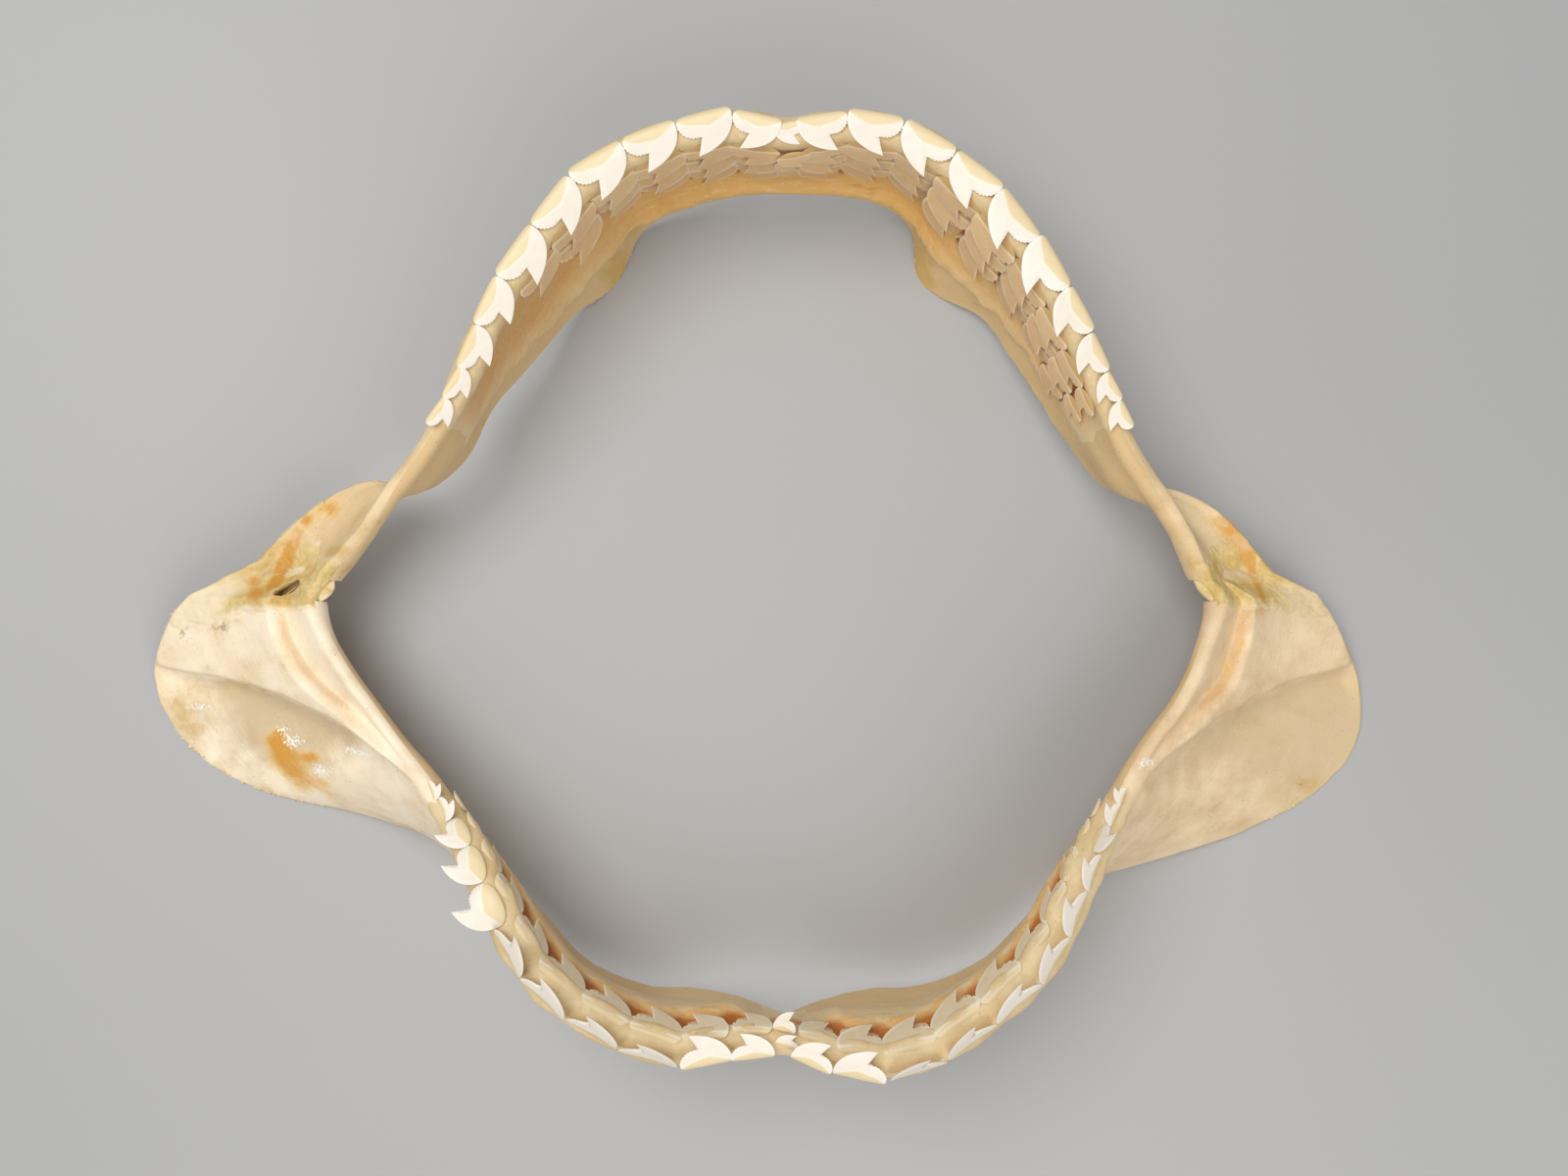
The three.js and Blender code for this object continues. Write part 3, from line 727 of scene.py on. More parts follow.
def section_path(half, local, foot):
    """Signed depths from the lips' side over the crest and down the tongue's side."""
    crest = along(half.shape["crest_half"], local.f)
    turn = np.linspace(0, np.pi / 2, SECTION_CAP)[None]
    cap = crest * (1 - np.cos(turn))
    share = np.linspace(0, 1, SECTION_LIPS)[None, :-1]
    lips = mix(np.full_like(crest, LIPS_REACH), crest, share)
    tongue = mix(crest, foot, np.linspace(0, 1, SECTION_TONGUE)[None, 1:])
    return np.hstack([-lips, -cap[:, ::-1], cap[:, 1:], tongue])


def offset_section(a, b, thick):
    """Moves the section a, b outwards by thick, at right angles to itself."""
    along_a, along_b = np.gradient(a, axis=1), np.gradient(b, axis=1)
    size = np.maximum(np.hypot(along_a, along_b), 1e-9)
    return a - thick * along_b / size, b + thick * along_a / size


def gum_side(half, thickness, foot_share, seed):
    """Outer and inner face of the gum on one side, with what the material needs to know."""
    local = half.at(np.linspace(0, half.shape["band_end"], GUM_RINGS))
    foot = foot_share(local) * local.height
    shift = 3.7 * half.side
    foot = foot + 1.5 * lumps_along(local.length, 11, shift, seed + 2)
    foot = foot + 0.9 * lumps_along(local.length, 3.3, shift, seed + 3)
    w = section_path(half, local, foot)
    a = np.abs(w)
    b = skin(half, local, a, np.where(w < 0, -1, 1))
    swell, groove = file_relief(half, local, w)
    end_fade = 1 - smooth(local.q, half.shape["band_end"] - 1.6, half.shape["band_end"])
    upper = half.shape["name"] == "upper"
    thick = thickness(half, local, w, foot) + swell
    floor = thick - 0.9 if upper else np.minimum(thick, 0.8)
    thick = mix(thick, floor, groove)
    path = half.place(local, a, b)
    teased = 1 + (1.5 * bell(w, foot - 4, 5) if upper else 0)
    thick = thick + teased * (0.3 * lumps(path, 7, seed) + 0.14 * lumps(path, 2.2, seed + 1))
    thick = mix(BURIED, thick, end_fade)
    outer = half.place(local, *offset_section(a, b, thick))
    inner = half.place(local, *offset_section(a, b, np.full_like(a, BURIED - 0.5)))
    return SimpleNamespace(
        outer=outer, inner=inner, w=w, groove=groove, grain=grain(local, w), rim=w - foot,
        length=np.broadcast_to(local.length, w.shape), fade=np.broadcast_to(end_fade, w.shape),
    )


def upper_foot(local):
    """Share of the height that the gum covers. It stops above the process behind the eye."""
    return 0.93 - 0.16 * bell(local.q, 4.0, 0.8) - 0.2 * smooth(local.q, 4.2, 7.5)


def lower_foot(local):
    return 0.8 - 0.001 * local.q**2


middle_foot = upper_foot(upper_half.at([0.0]))[0, 0]
print("the upper gum covers", middle_foot.round(2), "of the height at the midline")

# %% The gum as one skin from side to side
GUM_VALUES = ("w", "groove", "grain", "length", "fade", "rim")  # what the material reads
EASED_RINGS, EASING_ROUNDS = 12, 40


def whole_gum(name, thickness, foot_share, seed):
    sides = [gum_side(HALVES[name, side], thickness, foot_share, seed) for side in (-1, 1)]
    joined = {}
    for key in ("outer", "inner", *GUM_VALUES):
        left, right = (getattr(side, key) for side in sides)
        joined[key] = np.concatenate([left[::-1], right])
    middle = len(joined["w"]) // 2
    for key in ("outer", "inner"):  # eases the kink where the two sides meet
        sheet = joined[key]
        first, end = middle - EASED_RINGS, middle + EASED_RINGS
        for _ in range(EASING_ROUNDS):
            between = (sheet[first - 1 : end - 1] + sheet[first + 1 : end + 1]) / 2
            sheet[first:end] = (sheet[first:end] + between) / 2
    rings = np.concatenate([joined["outer"], joined["inner"][:, ::-1]], axis=1)
    faces = ring_faces(len(rings), rings.shape[1], sheet=True)
    values = {key: both_layers(joined[key]) for key in GUM_VALUES}
    return make_piece(f"{name}_gum", rings, faces, values)


upper_gum = whole_gum("upper", upper_gum_thickness, upper_foot, 31)
lower_gum = whole_gum("lower", lower_gum_thickness, lower_foot, 41)

# %% [markdown]
# ## A cockscomb tooth
#
# A tiger shark's tooth is wide and low, like a cock's comb. From the midline side the cutting
# edge bulges up to a cusp that leans back. A deep notch parts the cusp from a low heel with
# coarse saw teeth. The outline is four curves with saw teeth on three of them. The two faces
# are blown up from it towards a skeleton of four short lines, so that the edges stay thin.

# %% Outline of a tooth
# All lengths are shares of the tooth's width. x runs from the midline side, y up the crown.
TIP, NOTCH = (0.74, 0.66), (0.6, 0.31)
FRONT_FOOT, HEEL_FOOT = (0.0, 0.02), (1.0, 0.03)
SAW_FADE = 0.15  # the saw teeth fade out over this share of a stretch, at both its ends
# stretches from point to point: control points between, saw teeth, their depth, points a saw
STRETCHES = [
    ([FRONT_FOOT, (-0.03, 0.34), (0.22, 0.58), TIP], 26, 0.011, 2),
    ([TIP, (0.66, 0.5), NOTCH], 6, 0.006, 2),
    ([NOTCH, (0.78, 0.39), (1.01, 0.24), HEEL_FOOT], 9, 0.024, 4),
    ([HEEL_FOOT, (0.92, -0.2), (0.08, -0.2), FRONT_FOOT], 0, 0, 14),
]


def bezier(points, t):
    """Points of the curve with these control points, at t from 0 to 1."""
    points = np.array(points, float)
    while len(points) > 1:
        points = [mix(p, q, t[:, None]) for p, q in zip(points[:-1], points[1:])]
    return points[0]


def tooth_outline(fineness):
    """Points of the outline. Fineness is the share of the saw teeth that is modelled."""
    outline = []
    for points, saws, depth, per_saw in STRETCHES:
        saws = round(saws * fineness)
        count = max(saws, 1) * per_saw
        t = np.arange(count) / count
        line = bezier(points, t)
        ahead = bezier(points, t + 1e-3) - line
        outwards = unit(np.stack([-ahead[:, 1], ahead[:, 0]], -1))
        phase = (np.arange(count) % per_saw) / per_saw
        saw = np.sqrt(phase) * smooth(t, 0, SAW_FADE) * smooth(1 - t, 0, SAW_FADE)
        outline.append(line + outwards * (saw * depth / max(fineness, 0.5))[:, None])
    return np.vstack(outline)


print("points of the finest outline:", len(tooth_outline(1.0)))

# %% The skeleton of a tooth
HUB, HUB_THICK = np.array((0.42, 0.2)), 0.095
# where the arms of the skeleton end, and the thickness there
ARMS = {
    "tip": ((0.66, 0.59), 0.02), "heel": ((0.84, 0.14), 0.05),
    "front": ((0.15, 0.2), 0.05), "root": ((0.5, -0.05), 0.12),
}


def nearest_on_skeleton(points):
    """The nearest place on the skeleton for each point, and the thickness there."""
    best = np.full(len(points), np.inf)
    place = np.zeros_like(points)
    thick = np.zeros(len(points))
    for end, end_thick in ARMS.values():
        arm = np.array(end) - HUB
        share = np.clip(((points - HUB) @ arm) / (arm @ arm), 0, 1)
        spot = HUB + share[:, None] * arm
        distance = np.linalg.norm(points - spot, axis=1)
        closer = distance < best
        best[closer] = distance[closer]
        place[closer] = spot[closer]
        thick[closer] = mix(HUB_THICK, end_thick, share)[closer]
    return place, thick


def eased(values, times):
    """Evens out values along a closed outline."""
    for _ in range(times):
        values = (np.roll(values, 1, axis=0) + values + np.roll(values, -1, axis=0)) / 3
    return values


foot_place, foot_thick = nearest_on_skeleton(np.array([FRONT_FOOT]))
print("skeleton nearest to the front foot:", foot_place[0].round(2), "thick", foot_thick.round(2))

# %% The template of a tooth
FATNESS = (0.45, -0.85)  # the lips' face is flat and the tongue's face full
LENGTHWISE_BEND, UPWARD_BEND = 0.14, 0.10  # how the tooth bends round the jaw and back


def arch_height(x, arch):
    """Height of the arch in which the enamel ends above the root."""
    return 0.01 + arch * (1 - (np.abs(x - 0.5) / 0.52) ** 1.5)


def tooth_template(fineness, rings, arch):
    """Points, faces and edge values of a tooth one unit wide. z points to the lips' face."""
    outline = tooth_outline(fineness)
    n = len(outline)
    heart, thick = (eased(values, n // 7) for values in nearest_on_skeleton(outline))
    layers = [np.column_stack([outline, np.zeros(n)])]
    edge = [np.ones(n)]
    for fatness in FATNESS:
        for r in rings:
            z = fatness * thick * (1 - r**2) ** 0.75
            layers.append(np.column_stack([mix(heart, outline, r), z]))
            edge.append(np.full(n, r))
    layers.append([[*HUB, fatness * HUB_THICK] for fatness in FATNESS])
    edge.append(np.zeros(2))
    points = np.vstack(layers)
    x, y = points[:, 0], points[:, 1]
    points[:, 2] += LENGTHWISE_BEND * (x - 0.5) ** 2 - UPWARD_BEND * y**2
    faces = []
    i = np.arange(n)
    k = np.roll(i, -1)
    for face in (0, 1):
        order = [0] + [1 + face * len(rings) + step for step in range(len(rings))]
        made = []
        for outer, inner in zip(order[:-1], order[1:]):
            made.append(np.stack([outer * n + i, outer * n + k, inner * n + k, inner * n + i], -1))
        last = order[-1] * n
        made.append(np.stack([last + i, last + k, np.full(n, len(points) - 2 + face)], -1))
        for group in made:
            faces += (group if face == 0 else group[:, ::-1]).tolist()
    return points, faces, np.concatenate(edge), y - arch_height(x, arch)


FINE_TOOTH = tooth_template(1.0, (0.93, 0.78, 0.55, 0.28, 0.04), 0.19)
SPARE_TOOTH = tooth_template(0.6, (0.9, 0.6, 0.25, 0.04), 0.06)
print("points of a front tooth:", len(FINE_TOOTH[0]), "and of a spare one:", len(SPARE_TOOTH[0]))

# %% [markdown]
# ## Rows of teeth
#
# The front row does the cutting. Behind it the spare teeth lie like roof tiles, point down, on
# the tongue's side, and move up as the front ones fall out. In these dried jaws the upper
# front teeth lean in over the mouth. The lower ones lie against the crest or stand up from it,
# and three old ones on the left are turned out. Each row is one joined mesh a side.

# %% The rows
# Lean is 0 towards the tongue, 90 down the plate, -90 up and 180 towards the lips. Curl bends
# the root of a tooth that lies flat down into the gum, towards its lips' face (1) or away (-1).
UPPER_FRONT = dict(depth=-3.1, out=-2.2, lean=20, size=1, curl=-1)
LOWER_FRONT = dict(depth=-1.8, out=-3.4, lean=-56, size=1, curl=-1)
LOWER_FLAT = dict(depth=-3.4, out=-3.6, lean=-18, size=1, curl=-1)
LOWER_FLAT_NUMBERS = (1, 2)
LEFT_TURNED_OUT = {7: 176, 8: 174, 9: 172}
RIGHT_TURNED_OUT = {9: -128}
UPPER_SPARES = [
    dict(depth=4.5, out=1.3, on_face=True, lean=82, size=1.02),
    dict(depth=14.5, out=1.5, on_face=True, lean=79, size=1.02),
    dict(depth=24.5, out=1.1, on_face=True, lean=83, size=1.0),
]
LOWER_SECOND = [dict(depth=0.2, out=4.1, lean=64, size=0.95, curl=-1)]
LOWER_SPARES = [dict(depth=7.5, out=0.8, on_face=True, lean=82, size=0.76)]


def front_row(half, number):
    """The front tooth of a file: how deep, how far out and how it leans."""
    if half.shape["name"] == "upper":
        return UPPER_FRONT
    turned_out = LEFT_TURNED_OUT if half.side < 0 else RIGHT_TURNED_OUT
    if number in turned_out:
        lean = turned_out[number]
        return dict(depth=-1.9, out=-0.8, lean=lean, size=1, stretch=1.35)
    return LOWER_FLAT if number in LOWER_FLAT_NUMBERS else LOWER_FRONT


print("lean of the lower right front teeth:",
      [front_row(HALVES["lower", 1], file.number)["lean"] for file in FILES["lower", 1]])

# %% Placing a tooth
CURL_START, CURL_RADIUS = 0.05, 0.12  # shares of the tooth's width
DISORDER = 4  # degrees by which a tooth leans and turns from its row, at most


def curled(y, z, curl):
    """Bends the root, which is the part below the enamel, towards one face."""
    angle = np.maximum(0, CURL_START - y) / CURL_RADIUS
    from_hub = CURL_RADIUS - curl * z
    bent_y = CURL_START - from_hub * np.sin(angle)
    bent_z = curl * (CURL_RADIUS - from_hub * np.cos(angle))
    return np.where(y < CURL_START, bent_y, y), np.where(y < CURL_START, bent_z, z)


def tooth_points(template, half, file, row, chance):
    """The template's points at its place in a row, with a little natural disorder."""
    local = half.at([file.q])
    depth = np.array([[row["depth"]]])
    surface = skin(half, local, depth, 1)[0, 0] if row.get("on_face") else 0
    tangent, down, tongue = local.tangent[0], local.down[0], local.tongue[0]
    base = local.crest[0] + down * row["depth"] + tongue * (surface + row["out"])
    lean = np.radians(row["lean"] + chance.uniform(-DISORDER, DISORDER))
    tip = tongue * np.cos(lean) + down * np.sin(lean)
    turn = np.radians(chance.uniform(-DISORDER, DISORDER))
    across = unit(tangent - tip * (tangent @ tip))
    across, tip = (
        across * np.cos(turn) + tip * np.sin(turn),
        tip * np.cos(turn) - across * np.sin(turn),
    )
    lips_face = np.cross(across, tip) * half.shape["tongue_sign"]
    size = file.width * row["size"] * chance.uniform(0.97, 1.03)
    x, y, z = template[0].T
    if row.get("curl"):
        y, z = curled(y, z, row["curl"])
    points = base + np.outer(x - 0.5, across) * size
    points += np.outer(y * row.get("stretch", 1), tip) * size + np.outer(z, lips_face) * size
    return half.to_side(points)


def joined_teeth(name, template, placed, tints):
    """One mesh of many teeth, each with its own tint value."""
    count = len(template[0])
    faces = [[p + i * count for p in face] for i in range(len(placed)) for face in template[1]]
    values = {
        "edge": np.tile(template[2], len(placed)),
        "crown": np.tile(template[3], len(placed)),
        "tint": np.repeat(tints, count),
    }
    return make_piece(name, np.vstack(placed), faces, values, sharp=38)


# %% All rows
chance = random.Random(11)
front_teeth, second_teeth, spare_teeth = [], [], []
for (jaw_name, side), half in HALVES.items():
    files = FILES[jaw_name, side]
    placed = [tooth_points(FINE_TOOTH, half, f, front_row(half, f.number), chance) for f in files]
    tints = [chance.random() for _ in placed]
    label = f"{jaw_name}_front_teeth_{half.word}"
    front_teeth.append(joined_teeth(label, FINE_TOOTH, placed, tints))
    kinds = {"spare": UPPER_SPARES if jaw_name == "upper" else LOWER_SPARES}
    if jaw_name == "lower":
        kinds["second"] = LOWER_SECOND
    for kind, rows in kinds.items():
        placed, tints = [], []
        for level, row in enumerate(rows):
            for file in files[: shown_files(half, level)]:
                placed.append(tooth_points(SPARE_TOOTH, half, file, row, chance))
                tints.append(level + chance.random())
        label = f"{jaw_name}_{kind}_teeth_{half.word}"
        made = joined_teeth(label, SPARE_TOOTH, placed, tints)
        (spare_teeth if kind == "spare" else second_teeth).append(made)

# %% [markdown]
# ## Middle teeth and the ties between the halves
#
# At the midline a small tooth file stands by itself, and a pad of tough tissue ties the two
# bars together. The pad is a sleeve round both plates that swells in its middle.

# %% Teeth at the midline


def middle_teeth(name, kind, rows):
    """Small teeth at the midline. Each row also tells its shift sideways."""
    half = HALVES[name, 1]
    template = FINE_TOOTH if kind == "front" else SPARE_TOOTH
    placed = []
    for row in rows:
        file = SimpleNamespace(q=0.0, width=half.shape["middle_tooth"])
        points = tooth_points(template, half, file, row, chance)
        own_middle = half.to_side(half.at([0.0]).crest)[0, 0]
        points[:, 0] += row["shift"] - own_middle + midline(points[:, 1])
        placed.append(points)
    tints = [level + 0.3 for level in range(len(placed))]
    return joined_teeth(f"{name}_middle_{kind}_teeth", template, placed, tints)


UPPER_MIDDLE = [dict(depth=-2.7, out=-1.8, lean=20, size=1, curl=-1, shift=0)]
UPPER_MIDDLE_SPARES = [
    dict(depth=5, out=2.4, on_face=True, lean=74, size=1.04, shift=0.5),
    dict(depth=14, out=2.4, on_face=True, lean=76, size=1.0, shift=-0.3),
    dict(depth=23, out=2.2, on_face=True, lean=80, size=0.95, shift=0.2),
]
LOWER_MIDDLE = [
    dict(depth=-1.2, out=-1.6, lean=-30, size=0.95, curl=-1, shift=1.4),
    dict(depth=-1.4, out=3.6, lean=-28, size=0.9, stretch=1.7, curl=-1, shift=-1.2),
]
upper_middle_teeth = middle_teeth("upper", "front", UPPER_MIDDLE)
upper_middle_spares = middle_teeth("upper", "spare", UPPER_MIDDLE_SPARES)
lower_middle_teeth = middle_teeth("lower", "front", LOWER_MIDDLE)

# %% The pads of tissue at the midline


PAD_REACH, PAD_THICK = 7.0, 0.7  # how far it runs along each bar, and its swelling
PAD_DEPTH = 42  # it has the colour that the gum has at this depth


def wrapped(values):
    """Adds each ring's last value before it and its first one after it."""
    return np.concatenate([values[:, -1:], values, values[:, :1]], axis=1)


def middle_pad(name, seed):
    """The sleeve of tissue round the front ends of the left and the right bar."""
    rows = []
    fades = []
    for side in (-1, 1):
        half = HALVES[name, side]
        local = half.at(np.linspace(0, float(half.station_at(PAD_REACH)), 24))
        depths = face_depths(half, local, cap=8, middle=30)
        a = closed_ring(depths, depths)
        b = skin(half, local, a, closed_ring(np.ones_like(depths), -np.ones_like(depths)))
        rounded = np.sqrt(np.maximum(0, 1 - (local.length / PAD_REACH) ** 2))
        swell = mix(BURIED, PAD_THICK, rounded) * (1 - 0.9 * smooth(a / local.height, 0.55, 0.9))
        grown = offset_section(wrapped(a), wrapped(b), wrapped(swell))
        points = half.place(local, *(values[:, 1:-1] for values in grown))
        points += 0.25 * lumps(points, 4, seed)[..., None] * unit(points - points.mean(1)[:, None])
        fade = np.broadcast_to(1 - local.length / PAD_REACH, a.shape)
        rows.append(points[::-1] if side < 0 else points)
        fades.append(fade[::-1] if side < 0 else fade)
    rings = np.concatenate(rows)
    faces = ring_faces(len(rings), rings.shape[1])
    plain_value = np.zeros(rings.shape[:2])
    values = {key: plain_value for key in ("groove", "rim", "length")}
    values["w"] = plain_value + PAD_DEPTH
    values["fade"] = np.concatenate(fades)
    values["grain"] = rings
    return make_piece(f"{name}_middle_pad", rings, faces, values)


upper_pad = middle_pad("upper", 51)
lower_pad = middle_pad("lower", 52)

# %% [markdown]
# ## The jaw joints
#
# A flat sleeve of ligament holds the ends of the upper and the lower bar together. On the
# right it is whole. On the left it is torn in two, with a see-through gap between. The sleeve
# is a row of lens-shaped rings that runs along the gap between the two bars.

# %% Joint sleeves
SLEEVE_RINGS, SLEEVE_CORNERS = 46, 80
SLEEVE_THICK, SLEEVE_BELLY = 2.6, 1.6  # half the thickness at its ends, and what its middle adds
SLEEVE_OVERLAP = 5  # how far it runs onto each bar
LEAST_ROUND = 0.03  # its end rings keep this share of their size, so that their caps stay clean


def joint_line(side, s):
    """Places on the ends of the upper and the lower bar, at shares s of their heights."""
    spots = []
    for half in (HALVES["upper", side], HALVES["lower", side]):
        local = half.at([half.last])
        a = np.atleast_2d(s) * local.height
        bow = along(half.shape["bow"], local.f) * np.sin(np.pi * np.clip(np.atleast_2d(s), 0, 1))
        raw = local.crest[:, None] + local.down[:, None] * a[..., None]
        spots.append((raw + local.tongue[:, None] * bow[..., None])[0])
    return spots


def joint_normal(side):
    """The direction straight up from the face of the joint, before the half is mirrored."""
    up, down = HALVES["upper", side], HALVES["lower", side]
    return unit(up.at([up.last]).tongue[0] + down.at([down.last]).tongue[0])


def joint_sleeve(side, seed, slack, first, last, name):
    """A sleeve over a stretch of the joint, from the share first to the share last."""
    s = np.linspace(first, last, SLEEVE_RINGS)
    top, foot = joint_line(side, s)
    reach = foot - top
    wide = 0.6 + 0.4 * np.sin(np.pi * np.clip(s, 0.05, 0.9))
    half_width = (np.linalg.norm(reach, axis=1) / 2 + SLEEVE_OVERLAP - slack) * wide
    belly = SLEEVE_BELLY * np.sin(np.pi * np.clip(0.12 + 0.76 * s, 0, 1))
    half_thick = SLEEVE_THICK + belly - 0.4 * slack
    for size, height, shift in ((6, 1.6, 4), (2, 0.8, 5)):
        half_width = half_width + height * lumps_along(s * 40, size, 3.3, seed + shift)
    round_off = fullness((s - first) / 0.12) * fullness((last - s) / 0.12)
    round_off = LEAST_ROUND + (1 - LEAST_ROUND) * round_off
    corner = 2 * np.pi * np.arange(SLEEVE_CORNERS) / SLEEVE_CORNERS
    lens = np.sin(corner) * np.abs(np.sin(corner)) ** 0.35  # the sleeve thins out to its borders
    ring = unit(reach)[:, None] * (half_width * round_off)[:, None, None] * np.cos(corner)[:, None]
    ring = ring + joint_normal(side) * (half_thick * round_off)[:, None, None] * lens[:, None]
    middle = ((top + foot) / 2)[:, None]
    folds = 1 + 0.10 * lumps(middle + ring, 5, seed)[..., None]
    folds = folds + 0.07 * lumps(middle + ring, 1.8, seed + 1)[..., None]
    rings = HALVES["upper", side].to_side(middle + ring * folds)
    border = np.broadcast_to(np.abs(np.cos(corner))[None], rings.shape[:2])
    values = {"stains": stain_values(rings), "border": border}
    return make_piece(name, rings, ring_faces(*rings.shape[:2]), values)


right_ligament = joint_sleeve(1, 61, 0.3, -0.03, 1.02, "joint_ligament_right")
left_ligament = joint_sleeve(-1, 62, 1.2, 0.31, 1.02, "joint_ligament_left")
left_inner_ligament = joint_sleeve(-1, 63, 1.3, -0.04, 0.245, "joint_ligament_left_inner")

# %% [markdown]
# A thin membrane dried on over each joint. It clings to both bars with a torn border and sags a
# little where it bridges the gap. Laid as a grid over the bars' own surface, it needs no
# projection. Its border simply dips under the cartilage, which draws the torn line. The left
# one has a hole. On the lower blade its outer part is as bleached as the cartilage itself.

# %% How the membrane covers a bar
# how far it runs onto the upper and the lower bar, in stations
MEMBRANE_REACH = {1: (0.75, 0.8), -1: (0.6, 1.0)}
MEMBRANE_COLUMNS, BAR_ROWS, BRIDGE_ROWS = 96, 70, 20
MEMBRANE_DEPTH = 1.1  # how deep its inner layer lies under the skin of the bar


def covered(half, q, share, reach, seed):
    """Skin points of a bar near its joint, their lips' direction, and the membrane's cover."""
    local = half.at(q)
    a = share * local.height
    points = half.place(local, a, skin(half, local, a, -1))
    torn = 0.5 * lumps(points, 9, seed) + 0.3 * lumps(points, 3.5, seed + 1)
    torn = torn + 0.16 * lumps(points, 1.3, seed)
    border = half.last - reach * (0.66 + 0.4 * smooth(share, 0.3, 0.85) + 0.6 * torn)
    inside = (local.q - border) / (half.last - border)
    lips = np.broadcast_to(-local.tongue[:, None] * [half.side, 1, 1], points.shape)
    return points, lips, np.clip(inside, -1, 1)


spot, _, cover = covered(upper_half, np.array([11.8]), np.array([[0.5]]), 0.75, 64)
print("on the upper bar at", spot[0, 0].round(1), "the membrane's cover is", cover.round(2))

# %% The membrane from bar to bar
# the borders of a cell of a grid: the neighbour beyond, and the corners from and to
CELL_SIDES = {
    (-1, 0): (0, 0, 0, 1), (1, 0): (1, 0, 1, 1), (0, -1): (0, 0, 1, 0), (0, 1): (0, 1, 1, 1),
}


def with_hole(faces, count, columns, centre, reach):
    """Takes an oval hole out of both layers of a sheet and builds the wall round it."""
    size = 2 * columns
    row, column = np.mgrid[0 : count - 1, 0 : columns - 1]
    open_cells = ((row - centre[0]) / reach[0]) ** 2 + ((column - centre[1]) / reach[1]) ** 2 < 1
    taken = set()
    walls = []
    for i, j in np.argwhere(open_cells):
        taken |= {i * size + j, i * size + size - 2 - j}
        for (di, dj), (a, b, c, d) in CELL_SIDES.items():
            if not open_cells[i + di, j + dj]:
                upper = [(i + a) * size + j + b, (i + c) * size + j + d]
                lower = [(i + c) * size + size - 1 - j - d, (i + a) * size + size - 1 - j - b]
                walls.append([int(p) for p in upper + lower])
    return [face for k, face in enumerate(faces) if k not in taken] + walls


def joint_membrane(side, first, last, seed, name, hole=None):
    """A sheet over a stretch of the joint: rows on the upper bar, the gap and the lower bar."""
    halves = HALVES["upper", side], HALVES["lower", side]
    share = np.linspace(first, last, MEMBRANE_COLUMNS)[None]
    bars = []
    for half, reach in zip(halves, MEMBRANE_REACH[side]):
        q = np.linspace(half.last - 1.5 * reach, half.last, BAR_ROWS)
        bars.append(covered(half, q, share, reach, seed))
    (top, top_lips, top_inside), (foot, foot_lips, foot_inside) = bars
    t = np.linspace(0, 1, BRIDGE_ROWS + 2)[1:-1, None, None]
    bridge = mix(top[-1], foot[-1], t)
    lips = unit(mix(top_lips[-1], foot_lips[-1], t))
    sag = np.sin(np.pi * t) * (0.4 + 0.9 * lumps(bridge, 6, seed + 2)[..., None])
    bridge = bridge + lips * sag
    points = np.concatenate([top, bridge, foot[::-1]])
    lips = np.concatenate([top_lips, lips, foot_lips[::-1]])
    inside = np.concatenate([top_inside, np.ones(bridge.shape[:2]), foot_inside[::-1]])
    folds = 0.6 + 0.45 * lumps(points, 3.5, seed + 3) + 0.25 * lumps(points, 1.2, seed + 4)
    thick = mix(BURIED, folds, smooth(inside, -0.1, 0.35))[..., None]
    inner = points - lips * MEMBRANE_DEPTH
    rings = np.concatenate([points + lips * thick, inner[:, ::-1]], axis=1)
    faces = ring_faces(len(rings), rings.shape[1], sheet=True)
    if hole:
        faces = with_hole(faces, len(rings), MEMBRANE_COLUMNS, *hole)
    on_blade = np.concatenate([0 * top_inside, t[..., 0] + 0 * share, np.ones_like(foot_inside)])
    rim = (1 - smooth(inside, 0, 1)) * (0.5 + 0.5 * on_blade)
    rim = np.maximum(rim, smooth(share, 0.5, 0.75) * on_blade)
    values = {"stains": stain_values(rings), "border": both_layers(rim)}
    return make_piece(name, rings, faces, values)


HOLE_CENTRE, HOLE_REACH = (80, 27), (6.3, 4.6)  # row and column of the sheet's grid
right_membrane = joint_membrane(1, 0.01, 0.985, 64, "joint_membrane_right")
left_membrane = joint_membrane(
    -1, 0.01, 0.985, 69, "joint_membrane_left", hole=(HOLE_CENTRE, HOLE_REACH)
)

# %% [markdown]
# Where tissue tore, single fibres span the joint. Each one is a thin tapered strand with a
# random bend. A curve object with a bevel would do as well, but rings keep its section flat.

# %% Loose fibres over the joints
FIBRE_RINGS, FIBRE_CORNERS = 9, 5
FIBRE_BEND = 1.2  # millimetres that a fibre bends sideways, at most
FIBRE_WIDE, FIBRE_FLAT = 1.8, 0.7  # its width and its thickness, as shares of the radius


def strand(start, end, sag, radius, chance):
    """A thin tapered fibre from start to end, bent sideways at random."""
    t = np.linspace(0, 1, FIBRE_RINGS)
    bend = np.array([chance.uniform(-1, 1) for _ in range(3)]) * FIBRE_BEND
    line = mix(start, end, t[:, None]) + np.outer(np.sin(np.pi * t), bend + [0, 0, sag])
    forward = unit(np.gradient(line, axis=0))
    sideways = unit(np.cross(forward, [0.1, 0.2, 1.0]))
    upward = np.cross(forward, sideways)
    turn = 2 * np.pi * np.arange(FIBRE_CORNERS) / FIBRE_CORNERS
    taper = radius * (0.25 + 0.75 * np.sin(np.pi * np.clip(t, 0.04, 0.96)))
    ring = sideways[:, None] * np.cos(turn)[None, :, None] * FIBRE_WIDE
    ring = ring + upward[:, None] * np.sin(turn)[None, :, None] * FIBRE_FLAT
    return line[:, None] + ring * taper[:, None, None]


